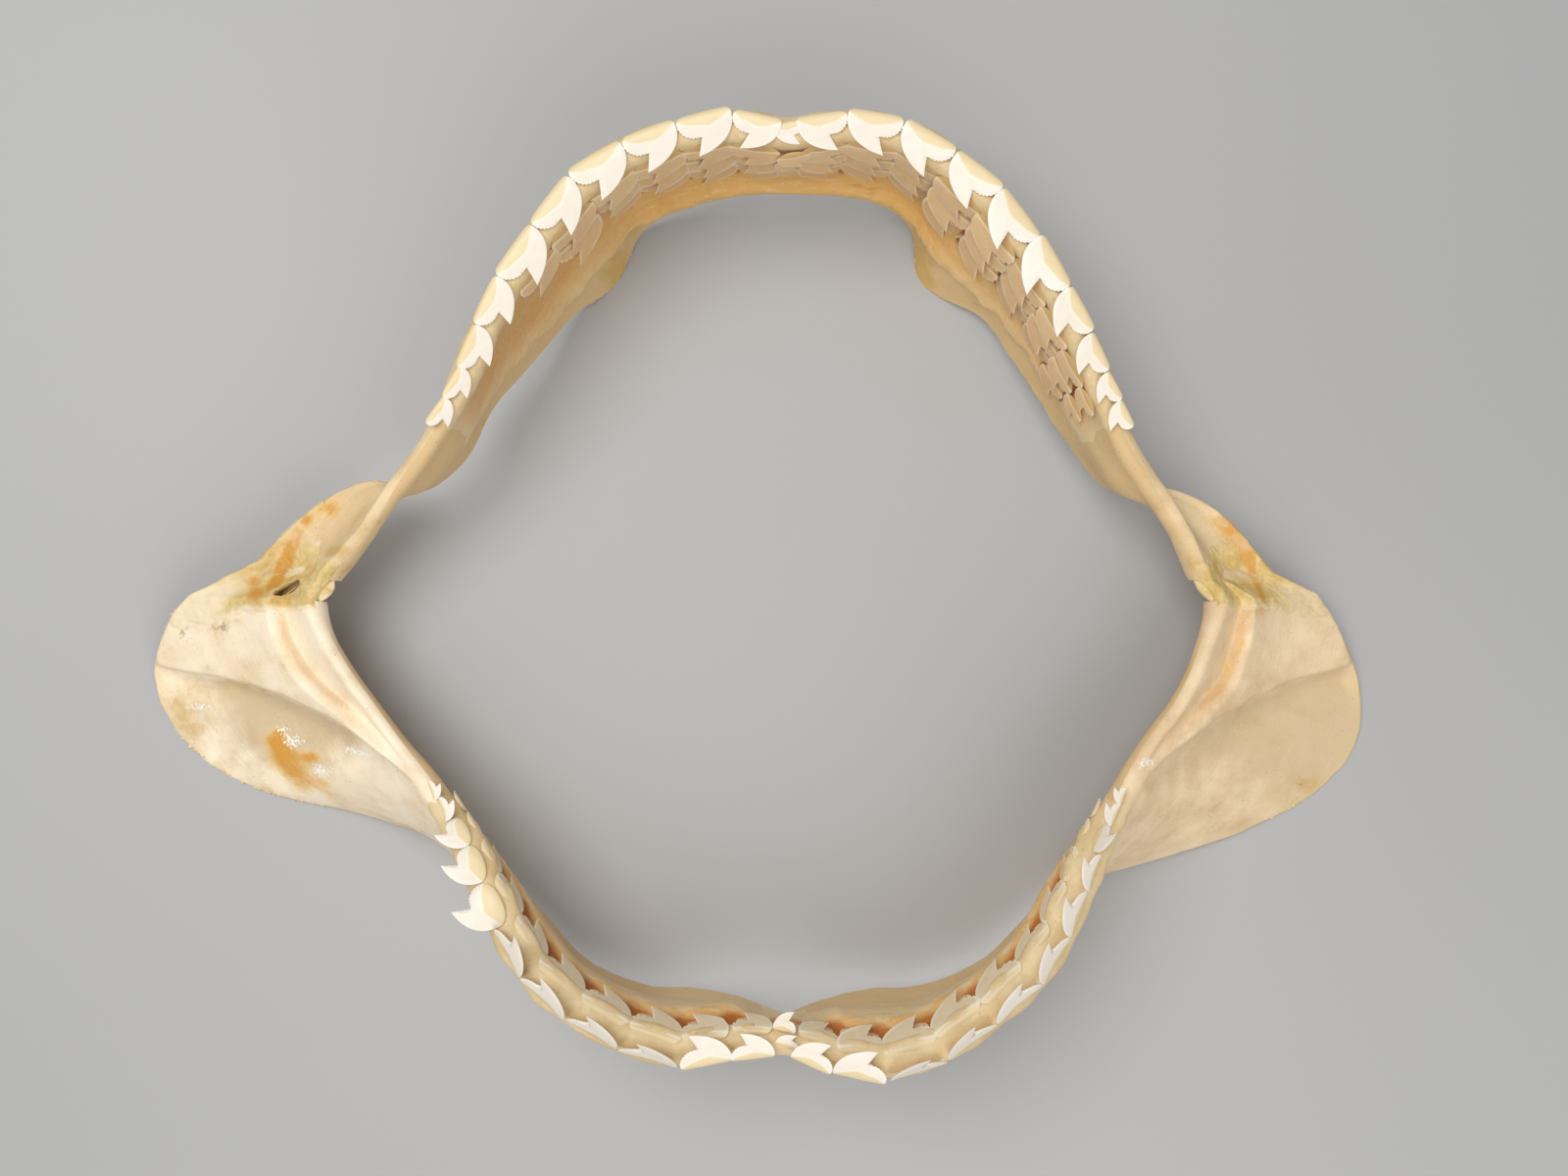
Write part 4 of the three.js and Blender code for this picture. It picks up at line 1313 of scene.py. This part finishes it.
def joint_fibres(side, count, radius, seed):
    """Fibres from bar to bar at random places of a joint, as one mesh."""
    chance = random.Random(seed)
    half = HALVES["upper", side]
    lift = joint_normal(side)
    lift = lift if lift[2] > 0 else -lift
    strand_faces = ring_faces(FIBRE_RINGS, FIBRE_CORNERS)
    points, faces = [], []
    for number in range(count):
        s = np.clip(chance.uniform(0, 0.95) + np.array([0, chance.uniform(-0.15, 0.15)]), 0, 1)
        top, foot = joint_line(side, s)
        share = chance.uniform(-0.15, 0.6)
        start = mix(top[0], foot[0], share) + lift * chance.uniform(1.5, 4.6)
        end = mix(top[1], foot[1], share + chance.uniform(0.25, 0.6))
        end = end + lift * chance.uniform(2, 4.8)
        sag = chance.uniform(-0.5, 1.5)
        rings = strand(start, end, sag, radius * chance.uniform(0.5, 1.3), chance)
        first = number * FIBRE_RINGS * FIBRE_CORNERS
        faces += [[first + p for p in face] for face in strand_faces]
        points.append(half.to_side(rings.reshape(-1, 3)))
    flat = np.vstack(points)
    return make_piece(f"joint_fibres_{half.word}", flat, faces, {"stains": stain_values(flat)})


left_fibres = joint_fibres(-1, 24, 0.1, 71)
right_fibres = joint_fibres(1, 8, 0.08, 72)

# %% [markdown]
# ## Torn edges
#
# Scraps of dried membrane stand along the back edges and on the joint's torn rim. Each scrap
# is a little bent flake with a broad base and a point, set by chance along a stretch.

# %% Scraps of membrane
SCRAP_THICK, SCRAP_CORNERS = 0.22, 5
TABLE_CLEARANCE = 0.3  # scraps that would reach below the table are lifted to this height
# half-jaw, from station, to station, how many, longest
TORN_STRETCHES = [
    ("upper", -1, 3.2, 4.6, 26, 2.8), ("upper", 1, 3.6, 4.8, 18, 2.4),
    ("upper", -1, 0.4, 3.2, 22, 1.4), ("upper", 1, 0.4, 3.6, 22, 1.4),
    ("upper", -1, 7.6, 9.4, 16, 1.8), ("upper", 1, 7.6, 9.4, 16, 1.8),
    ("upper", -1, 9.4, 12, 36, 2.6), ("upper", 1, 9.4, 12, 24, 1.8),
    ("lower", -1, 7.0, 11.5, 60, 1.7), ("lower", 1, 6.5, 9.5, 34, 1.4),
    ("lower", -1, 0.8, 3.6, 18, 1.2), ("lower", 1, 0.8, 3.6, 18, 1.2),
    ("lower", -1, 13.0, 14, 18, 2.6), ("lower", 1, 13.2, 14, 8, 1.4),
]


def scrap(base, outwards, sideways, length, width, chance):
    """A thin flake: five corners of a bent tongue with a point, on each of its two faces."""
    upwards = np.cross(outwards, sideways)
    thick = upwards * SCRAP_THICK
    curl = upwards * chance.uniform(-0.7, 0.9) * length
    slant = sideways * chance.uniform(-0.5, 0.5) * width
    corners = [base - sideways * width / 2, base + sideways * width / 2]
    middle = [c + outwards * length * 0.55 + curl * 0.25 + slant * 0.5 for c in corners]
    middle = [mix(m, (middle[0] + middle[1]) / 2, 0.3) for m in middle]
    point = [base + outwards * length + curl + slant]
    line = [corners[0], middle[0], *point, middle[1], corners[1]]
    return np.array([p + thick for p in line] + [p - thick for p in line])


def torn_scraps(seed):
    """All scraps along the torn edges, as one mesh."""
    chance = random.Random(seed)
    n = SCRAP_CORNERS
    scrap_faces = [[i, (i + 1) % n, (i + 1) % n + n, i + n] for i in range(n)]
    scrap_faces += [list(range(n)), list(range(2 * n - 1, n - 1, -1))]
    points, faces = [], []
    for jaw_name, side, start, end, count, longest in TORN_STRETCHES:
        half = HALVES[jaw_name, side]
        for _ in range(count):
            q = chance.uniform(start, end)
            local = half.at([q])
            base = local.crest[0] + local.down[0] * (local.height[0, 0] - 0.9)
            base = base + local.tongue[0] * chance.uniform(-0.8, 0.8)
            length = longest * chance.uniform(0.3, 0.8)
            width = chance.uniform(0.8, 2.4)
            made = scrap(base, local.down[0], local.tangent[0], length, width, chance)
            first = 2 * n * len(points)
            faces += [[first + p for p in face] for face in scrap_faces]
            placed = half.to_side(made)
            placed[:, 2] += max(0, TABLE_CLEARANCE - placed[:, 2].min())
            points.append(placed)
    flat = np.vstack(points)
    return make_piece("torn_scraps", flat, faces, {"stains": stain_values(flat)})


scraps = torn_scraps(81)

# %% [markdown]
# ## Shader maths as plain arithmetic
#
# A material is a formula over the surface. A small class wraps a socket and overloads the
# operators, so `1 - mask` adds the Math node by itself, and the formulas below read as such.
# Every other node comes from one method, which sets its settings first and then its sockets.

# %% A small language for materials


def colour(red, green, blue):
    """A display colour (0 to 255) as the linear values that shaders use."""
    values = np.array([red, green, blue]) / 255
    linear = np.where(values <= 0.04045, values / 12.92, ((values + 0.055) / 1.055) ** 2.4)
    return (*linear.tolist(), 1.0)


print("middle grey as a linear value:", round(colour(128, 128, 128)[0], 3))

# %% Values


class Value:
    """A socket's value that can be used in sums and products."""

    def __init__(self, finish, socket):
        self.finish = finish
        self.socket = socket

    def maths(self, operation, first, second):
        settings = {"operation": operation}
        return self.finish.node("ShaderNodeMath", settings, {0: first, 1: second})

    def __add__(self, other):
        return self.maths("ADD", self, other)

    __radd__ = __add__

    def __sub__(self, other):
        return self.maths("SUBTRACT", self, other)

    def __rsub__(self, other):
        return self.maths("SUBTRACT", other, self)

    def __mul__(self, other):
        return self.maths("MULTIPLY", self, other)

    __rmul__ = __mul__

    def step(self, low, high):
        """0 below low, 1 above high, and a smooth rise between."""
        settings = {"interpolation_type": "SMOOTHSTEP"}
        inputs = {"Value": self, "From Min": low, "From Max": high}
        return self.finish.node("ShaderNodeMapRange", settings, inputs)


# %% Finishes as formulas
COLOUR_FACTOR, COLOUR_A, COLOUR_B, COLOUR_RESULT = 0, 6, 7, 2  # sockets of a colour Mix node


class Finish:
    """A material that is built node by node."""

    def __init__(self, name):
        self.material = bpy.data.materials.new(name)
        self.material.use_nodes = True
        self.tree = self.material.node_tree
        self.tree.nodes.clear()

    def node(self, kind, settings=None, inputs=None, output=0):
        made = self.tree.nodes.new(kind)
        for key, value in (settings or {}).items():
            setattr(made, key, value)
        for key, value in (inputs or {}).items():
            if isinstance(value, Value):
                self.tree.links.new(value.socket, made.inputs[key])
            else:
                made.inputs[key].default_value = value
        return Value(self, made.outputs[output]) if made.outputs else made

    def stored(self, name, output="Fac"):
        """A value that was stored on the mesh's points."""
        return self.node("ShaderNodeAttribute", {"attribute_name": name}, output=output)

    def channel(self, name, index):
        """One of the values of a stored colour."""
        if index == "Alpha":
            return self.stored(name, "Alpha")
        return self.node("ShaderNodeSeparateColor", None, {0: self.stored(name, "Color")}, index)

    def place(self):
        """The place on the object, in metres."""
        return self.node("ShaderNodeTexCoord", output="Object")

    def scaled(self, vector, factors):
        settings = {"operation": "MULTIPLY"}
        return self.node("ShaderNodeVectorMath", settings, {0: vector, 1: factors})

    def noise(self, vector, scale, detail, roughness=0.55):
        inputs = {"Vector": vector, "Scale": scale, "Detail": detail, "Roughness": roughness}
        return self.node("ShaderNodeTexNoise", None, inputs)

    def blend(self, factor, first, second):
        """The first colour where the factor is 0, the second where it is 1."""
        inputs = {COLOUR_FACTOR: factor, COLOUR_A: first, COLOUR_B: second}
        return self.node("ShaderNodeMix", {"data_type": "RGBA"}, inputs, COLOUR_RESULT)

    def bump(self, height, strength, distance):
        inputs = {"Height": height, "Strength": strength, "Distance": distance}
        return self.node("ShaderNodeBump", None, inputs)

    def surface(self, **sockets):
        """Ends the formula in a Principled shader, whose sockets are named in lower case."""
        inputs = {}
        for key, value in sockets.items():
            inputs[key.replace("_", " ").title().replace("Ior", "IOR")] = value
        shader = self.node("ShaderNodeBsdfPrincipled", None, inputs)
        self.node("ShaderNodeOutputMaterial", None, {"Surface": shader})
        print(f"{self.material.name}: {len(self.tree.nodes)} nodes")
        return self.material


# %% [markdown]
# ## Finishes
#
# Cartilage: ivory where thick and bleached, tan where thin, with fine fibres along the bar,
# small dark pores and stains. Painted shade darkens the hollow below the lower blade's ledge and
# the crease at its ridge's foot, which on the right is also stained orange. The left blade is
# paler and the right one more tan, partly in their own tone and partly as painted light and
# shade. Object coordinates are in metres, so a noise scale of 100 gives lumps of about a
# centimetre. Grain comes from the stored length and depth in millimetres.

# %% Cartilage
GRAIN_STRETCH = (0.11, 1.1, 1)  # the fibres are ten times as long as wide
INNER_TAN, RIM_TAN = colour(214, 182, 130), colour(226, 202, 150)
ORANGE_HALO, ORANGE = colour(232, 194, 122), colour(212, 150, 48)
OLIVE_STAIN, FLAKE, SMUDGE, PORE = (
    colour(202, 166, 88), colour(252, 246, 234), colour(116, 108, 98), colour(86, 62, 34)
)


def cartilage_finish(name, ivory, tan, tan_share, crease_shade_and_stain_colour, hollow_shade_colour):
    """Layers of colour: the ground tone, painted shade in the hollows and the crease, stains,
    pores.
    """
    f = Finish(name)
    place = f.place()
    clouds = f.noise(place, 28, 3) - 0.5
    blotch = f.noise(place, 110, 5, 0.6) - 0.5
    fibres = f.noise(f.scaled(f.stored("grain", "Vector"), GRAIN_STRETCH), 1.0, 5, 0.7) - 0.5
    speckle = f.noise(place, 900, 3, 0.7) - 0.5
    tone = clouds * 1.5 + blotch * 1.0 + fibres * 0.5 + speckle * 0.35 + tan_share
    base = f.blend(tone.step(-0.5, 0.8), ivory, tan)
    # painted shade in the hollow below the blade's ledge, and weaker on the upper blade
    shaded = (f.stored("hollow") + blotch * 0.9 + fibres * 0.5).step(0.1, 1.0)
    base = f.blend(shaded * 0.85, base, hollow_shade_colour)
    inner = f.stored("face").step(0, 0.5) * (1 - f.stored("blade").step(0.5, 0.9))
    base = f.blend(inner * (0.8 - clouds), base, INNER_TAN)
    rim = (f.stored("share") + blotch * 0.2).step(0.9, 1.05)
    base = f.blend(rim * 0.6, base, RIM_TAN)
    torn = blotch * 2.2 + clouds * 0.8
    stained = f.channel("stains", 0) + torn * 0.5 + fibres * 0.8 + speckle * 0.5
    crease = (f.stored("crease") + fibres * 0.5).step(0.15, 0.9)
    olive = (f.channel("stains", 1) + torn * 0.8 + speckle * 0.4).step(0.15, 0.95)
    flakes = (f.channel("stains", 2) + speckle * 3.2 + blotch * 1.2).step(0.6, 0.75)
    grey = (f.channel("stains", "Alpha") + torn * 1.2 + speckle * 1.4).step(0.5, 1.1)
    base = f.blend(olive * 0.7, base, OLIVE_STAIN)
    # painted shade in the crease at the ridge's foot; on the right blade also an orange stain
    base = f.blend(crease * 0.5, base, crease_shade_and_stain_colour)
    orange = stained.step(0.38, 1.25)
    base = f.blend(stained.step(0.08, 0.7) * 0.6, base, ORANGE_HALO)
    base = f.blend(orange * 0.9, base, ORANGE)
    base = f.blend(flakes * 0.85, base, FLAKE)
    base = f.blend(grey * 0.6, base, SMUDGE)
    pores = (f.noise(place, 1500, 1, 0.5) + f.noise(place, 60, 2) * 0.25).step(0.87, 0.93)
    base = f.blend(pores * 0.75, base, PORE)
    height = fibres * 0.45 + speckle * 0.12 + blotch * 0.5 + flakes * 0.5
    return f.surface(
        base_color=base,
        roughness=0.56 + fibres * 0.2 - orange * 0.12,
        normal=f.bump(height, 0.45, 0.0007),
        specular_ior_level=0.4,
        subsurface_weight=0.12,
        subsurface_radius=(0.004, 0.0022, 0.001),
    )


# Paler left blade, more tan right blade: partly their own tones, partly painted light and shade.
left_ivory_lit_cartilage = cartilage_finish(
    "ivory_cartilage", ivory=colour(254, 238, 210), tan=colour(228, 200, 158), tan_share=0.0,
    crease_shade_and_stain_colour=colour(196, 158, 108), hollow_shade_colour=colour(202, 179, 142),
)
right_tan_shaded_cartilage = cartilage_finish(
    "tan_cartilage", ivory=colour(246, 222, 184), tan=colour(214, 180, 136), tan_share=0.15,
    crease_shade_and_stain_colour=colour(206, 152, 72), hollow_shade_colour=colour(216, 190, 150),
)
upper_cartilage = cartilage_finish(
    "cream_cartilage", ivory=colour(242, 218, 176), tan=colour(214, 182, 132), tan_share=0.1,
    crease_shade_and_stain_colour=colour(206, 152, 72), hollow_shade_colour=colour(228, 200, 158),
)

# %% [markdown]
# Gum: cream over the crest, where it is thin over hard tissue, ochre on the tongue's side, and
# dark orange-brown in the pits. The stored value w tells the depth below the crest, negative
# on the lips' side, and so the finish knows where it is on the jaw.

# %% Gum
GUM_GRAIN_STRETCH = (0.1, 0.7, 1)
THIN_CREAM, DEEP_CREAM = colour(230, 208, 165), colour(211, 182, 130)
PALE_WALL, FOOT_EDGE = colour(214, 172, 108), colour(232, 208, 158)
DARK_FIBRE, PALE_FIBRE = colour(180, 112, 40), colour(238, 214, 162)
PALE_SIDE, PAD_CREAM, GUM_PORE = colour(226, 196, 146), colour(228, 204, 160), colour(92, 52, 20)


def gum_finish(name, wall, foot, pit, wall_from, foot_from, trench):
    """wall_from, foot_from and trench are ranges of the depth w, in millimetres."""
    f = Finish(name)
    place = f.place()
    blotch = f.noise(place, 120, 5, 0.6) - 0.5
    fine = f.noise(place, 700, 4, 0.65) - 0.5
    fibres = f.noise(f.scaled(f.stored("grain", "Vector"), GUM_GRAIN_STRETCH), 1.0, 5, 0.65) - 0.5
    w = f.stored("w")
    wavy = w + blotch * 8
    cream = f.blend((blotch * 1.6 + 0.5).step(0, 1), THIN_CREAM, DEEP_CREAM)
    walls = f.blend((blotch * 2 + fibres + 0.5).step(0, 1), wall, PALE_WALL)
    base = f.blend(wavy.step(*wall_from), cream, walls)
    base = f.blend(wavy.step(*foot_from) * 0.95, base, foot)
    dark = (fibres * 3 + blotch * 2).step(0.15, 0.9) * wavy.step(*foot_from)
    base = f.blend(dark * 0.5, base, DARK_FIBRE)
    pale = (fine * 1.2 - fibres * 3.2 - blotch * 1.6).step(0.1, 0.8)
    base = f.blend(pale * 0.55, base, PALE_FIBRE)
    edge = (f.stored("rim") + blotch * 9).step(-7, 0)
    aside = f.stored("length").step(50, 90)
    paling = (f.stored("rim") + blotch * 16 + fibres * 14).step(-19, -2)
    base = f.blend(edge * 0.75, base, FOOT_EDGE)
    base = f.blend(paling * aside * 0.9, base, PALE_SIDE)
    deep = f.stored("groove") + blotch * 0.9
    if trench:
        low, high = trench
        deep = deep + w.step(low - 3.5, low) * (1 - w.step(high, high + 2)) * 0.5
    base = f.blend(deep.step(0.2, 0.7) * 0.95, base, pit)
    pores = (f.noise(place, 1300, 1, 0.5) + blotch * 0.25).step(0.74, 0.8)
    base = f.blend(pores * 0.7, base, GUM_PORE)
    base = f.blend(1 - f.stored("fade").step(0.1, 0.95), base, PAD_CREAM)
    return f.surface(
        base_color=base,
        roughness=0.46 + fine * 0.25,
        normal=f.bump(fibres * 0.6 + fine * 0.3 + blotch * 0.5, 0.4, 0.0007),
        specular_ior_level=0.45,
        subsurface_weight=0.15,
        subsurface_radius=(0.004, 0.0018, 0.0007),
    )


upper_gum_skin = gum_finish(
    "ochre_gum", wall=colour(218, 163, 90), foot=colour(228, 180, 104), pit=colour(168, 100, 36),
    wall_from=(2, 6), foot_from=(28, 38), trench=None,
)
lower_gum_skin = gum_finish(
    "cream_gum", wall=colour(218, 172, 104), foot=colour(230, 202, 152), pit=colour(184, 104, 26),
    wall_from=(4, 8), foot_from=(13, 16), trench=(7.5, 11.5),
)

# %% [markdown]
# Teeth: the front ones are hard white enamel over a cream root. The spare ones are still half
# formed, beige to tan, with paler saw edges. All come from one recipe that reads where the
# enamel ends, how near the edge is, and each tooth's own tint.

# %% Enamel


def tooth_finish(name, enamel, second, root, ridge, edge_colour, edge_share, roughness):
    """Two tones of enamel, the root below it, and a pale ridge where the two meet."""
    f = Finish(name)
    place = f.place()
    tint = f.stored("tint")
    streaks = f.noise(place, 260, 4, 0.6)
    base = f.blend((tint * 0.2 + streaks * 0.6).step(0.15, 0.95), enamel, second)
    base = f.blend(f.stored("edge").step(0.55, 0.98) * edge_share, base, edge_colour)
    height = f.stored("crown") + streaks * 0.03
    crown = height.step(0.0, 0.035)
    base = f.blend(crown, root, base)
    base = f.blend(height.step(-0.02, 0.015) * (1 - height.step(0.03, 0.06)) * 0.9, base, ridge)
    return f.surface(
        base_color=base,
        roughness=roughness + streaks * 0.12,
        normal=f.bump(streaks, 0.12, 0.0005),
        specular_ior_level=0.45,
        coat_weight=0.12,
        coat_roughness=0.3,
        subsurface_weight=0.1,
        subsurface_radius=(0.002, 0.0015, 0.001),
    )


front_enamel = tooth_finish(
    "front_enamel", enamel=colour(242, 233, 219), second=colour(234, 220, 198),
    root=colour(234, 212, 168), ridge=colour(244, 234, 214), edge_colour=colour(248, 242, 232),
    edge_share=0.4, roughness=0.36,
)
pale_enamel = tooth_finish(
    "pale_enamel", enamel=colour(226, 208, 174), second=colour(214, 192, 154),
    root=colour(226, 204, 160), ridge=colour(240, 230, 208), edge_colour=colour(248, 240, 224),
    edge_share=0.7, roughness=0.36,
)
spare_enamel = tooth_finish(
    "spare_enamel", enamel=colour(232, 198, 150), second=colour(216, 178, 126),
    root=colour(208, 170, 114), ridge=colour(240, 218, 180), edge_colour=colour(250, 230, 196),
    edge_share=0.6, roughness=0.38,
)

# %% [markdown]
# Ligament: dried yellow-brown fibre, olive where thick and pale towards its borders. Scraps of
# membrane and loose fibres get the same recipe in a paler mix, without a border.

# %% Ligament and scraps
THREADS_PER_METRE = (1300, 420, 500)
LIGAMENT_HALO, LIGAMENT_ORANGE = colour(222, 178, 98), colour(208, 142, 36)


def ligament_finish(name, pale, dark, orange_share, border_colour=None):
    """Two tones in blotches and threads, orange stains, and a paler border if it has one."""
    f = Finish(name)
    place = f.place()
    blotch = f.noise(place, 160, 5, 0.65) - 0.5
    threads = f.noise(f.scaled(place, THREADS_PER_METRE), 1.0, 5, 0.7) - 0.5
    base = f.blend((blotch * 2.2 + threads * 1.0 + 0.5).step(0, 1), pale, dark)
    stained = f.channel("stains", 0) + blotch * 0.6 + threads * 0.5
    base = f.blend(stained.step(0.1, 0.8) * orange_share * 0.6, base, LIGAMENT_HALO)
    base = f.blend(stained.step(0.35, 0.9) * orange_share, base, LIGAMENT_ORANGE)
    if border_colour:
        border = (f.stored("border") * 1.2 + blotch * 1.3).step(0.25, 1.0)
        base = f.blend(border * 0.9, base, border_colour)
    return f.surface(
        base_color=base,
        roughness=0.5 + threads * 0.25,
        normal=f.bump(threads * 0.7 + blotch * 0.5, 0.3, 0.0005),
        specular_ior_level=0.45,
        subsurface_weight=0.2,
        subsurface_radius=(0.004, 0.002, 0.0007),
    )


OLIVE = colour(230, 206, 148), colour(206, 172, 98)
left_ligament_skin = ligament_finish("olive_ligament", *OLIVE, 0.8, colour(244, 226, 192))
right_ligament_skin = ligament_finish("tan_ligament", *OLIVE, 0.6, colour(228, 203, 162))
fibre_skin = ligament_finish("pale_fibres", colour(240, 222, 180), colour(222, 192, 130), 0.4)

# %% [markdown]
# Each piece now gets its finish and the packed solids that it stands for. Nothing moves, so all
# of them ride on the one body, the root.

# %% Every piece gets its finish and its body


def finished(piece, material, slot, *nodes):
    """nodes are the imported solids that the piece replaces."""
    piece.data.materials.clear()
    piece.data.materials.append(material)
    if nodes:
        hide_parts(*nodes)
    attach(piece, "root")


for (jaw_name, side), piece in plates.items():
    lower_cartilage = right_tan_shaded_cartilage if side > 0 else left_ivory_lit_cartilage
    bar_cartilage = upper_cartilage if jaw_name == "upper" else lower_cartilage
    finished(piece, bar_cartilage, "cartilage", f"{jaw_name}_jaw_{HALVES[jaw_name, side].word}")
finished(upper_gum, upper_gum_skin, "gum", "upper_teeth_left", "upper_teeth_right")
finished(lower_gum, lower_gum_skin, "gum", "lower_teeth_left", "lower_teeth_right")
finished(upper_pad, upper_gum_skin, "gum", "upper_symphysis")
finished(lower_pad, lower_gum_skin, "gum", "lower_symphysis")
for piece in front_teeth + [upper_middle_teeth, lower_middle_teeth]:
    finished(piece, front_enamel, "tooth")
for piece in second_teeth:
    finished(piece, pale_enamel, "tooth")
for piece in spare_teeth + [upper_middle_spares]:
    finished(piece, spare_enamel, "tooth")
finished(left_ligament, left_ligament_skin, "ligament", "joint_capsule_left")
finished(left_inner_ligament, left_ligament_skin, "ligament")
finished(right_ligament, right_ligament_skin, "ligament", "joint_capsule_right")
finished(right_membrane, right_ligament_skin, "ligament")
finished(left_membrane, left_ligament_skin, "ligament")
for piece in (left_fibres, right_fibres, scraps):
    finished(piece, fibre_skin, "ligament")

# %% [markdown]
# ## Floor, light and camera
#
# A pale matt floor shows the soft shadows that tell how the jaws stand. One broad lamp high
# on the left models the blades, and a weaker one opposite keeps the shadows open. The camera
# looks straight down from half a metre, as a visitor does who leans over the case.

# %% Floor
FLOOR_SIZE = 6  # metres, so that its edge stays far away in every view
bpy.ops.mesh.primitive_plane_add(size=FLOOR_SIZE)
floor = bpy.context.object
floor.name = "floor"
f = Finish("pale_floor")
cloud = f.noise(f.place(), 2.0, 2)
shade = f.blend(cloud, colour(170, 169, 168), colour(181, 180, 179))
floor.data.materials.append(f.surface(base_color=shade, roughness=0.55 + cloud * 0.05))

# %% Lights


def area_light(name, place, size, power):
    """A round lamp that shines on the middle of the jaws, with its size in metres."""
    lamp = bpy.data.lights.new(name, "AREA")
    lamp.shape = "DISK"
    lamp.size = size
    lamp.energy = power
    made = bpy.data.objects.new(name, lamp)
    made.location = place
    aim = -Vector(place)
    made.rotation_euler = aim.to_track_quat("-Z", "Y").to_euler()
    bpy.context.scene.collection.objects.link(made)
    print(f"{name}: {power} W from {aim.length:.2f} m")


area_light("key", (-0.35, 0.3, 1.1), size=0.9, power=8.8)
area_light("fill", (0.35, -0.8, 0.9), size=1.1, power=5.6)
world = bpy.data.worlds.new("soft_room")
world.use_nodes = True
background = world.node_tree.nodes["Background"]
background.inputs["Color"].default_value = (0.97, 0.98, 1.0, 1)
background.inputs["Strength"].default_value = 0.4
bpy.context.scene.world = world
bpy.context.scene.view_settings.view_transform = "Standard"

# %% Camera
EYE = (CENTRE_X, CENTRE_Y, 520)  # millimetres
FOCAL_PIXELS, FRAME_WIDTH = 1469, 1600  # focal length and width of the frame, in its pixels
camera = bpy.data.cameras.new("camera")
camera.sensor_width = 36
camera.lens = FOCAL_PIXELS / FRAME_WIDTH * camera.sensor_width
camera.clip_start = 0.01
eye = bpy.data.objects.new("camera", camera)
eye.location = [value * MM for value in EYE]
bpy.context.scene.collection.objects.link(eye)
bpy.context.scene.camera = eye
print("lens:", round(camera.lens, 1), "mm, seen from", EYE[2], "mm")

# %% [markdown]
# The fine surfaces may stand a little proud of the imported solids, but the whole has to keep
# their size.

# %% Sizes, and the end


def plain(box):
    """A box's corners as plain lists."""
    return [list(corner) for corner in box]
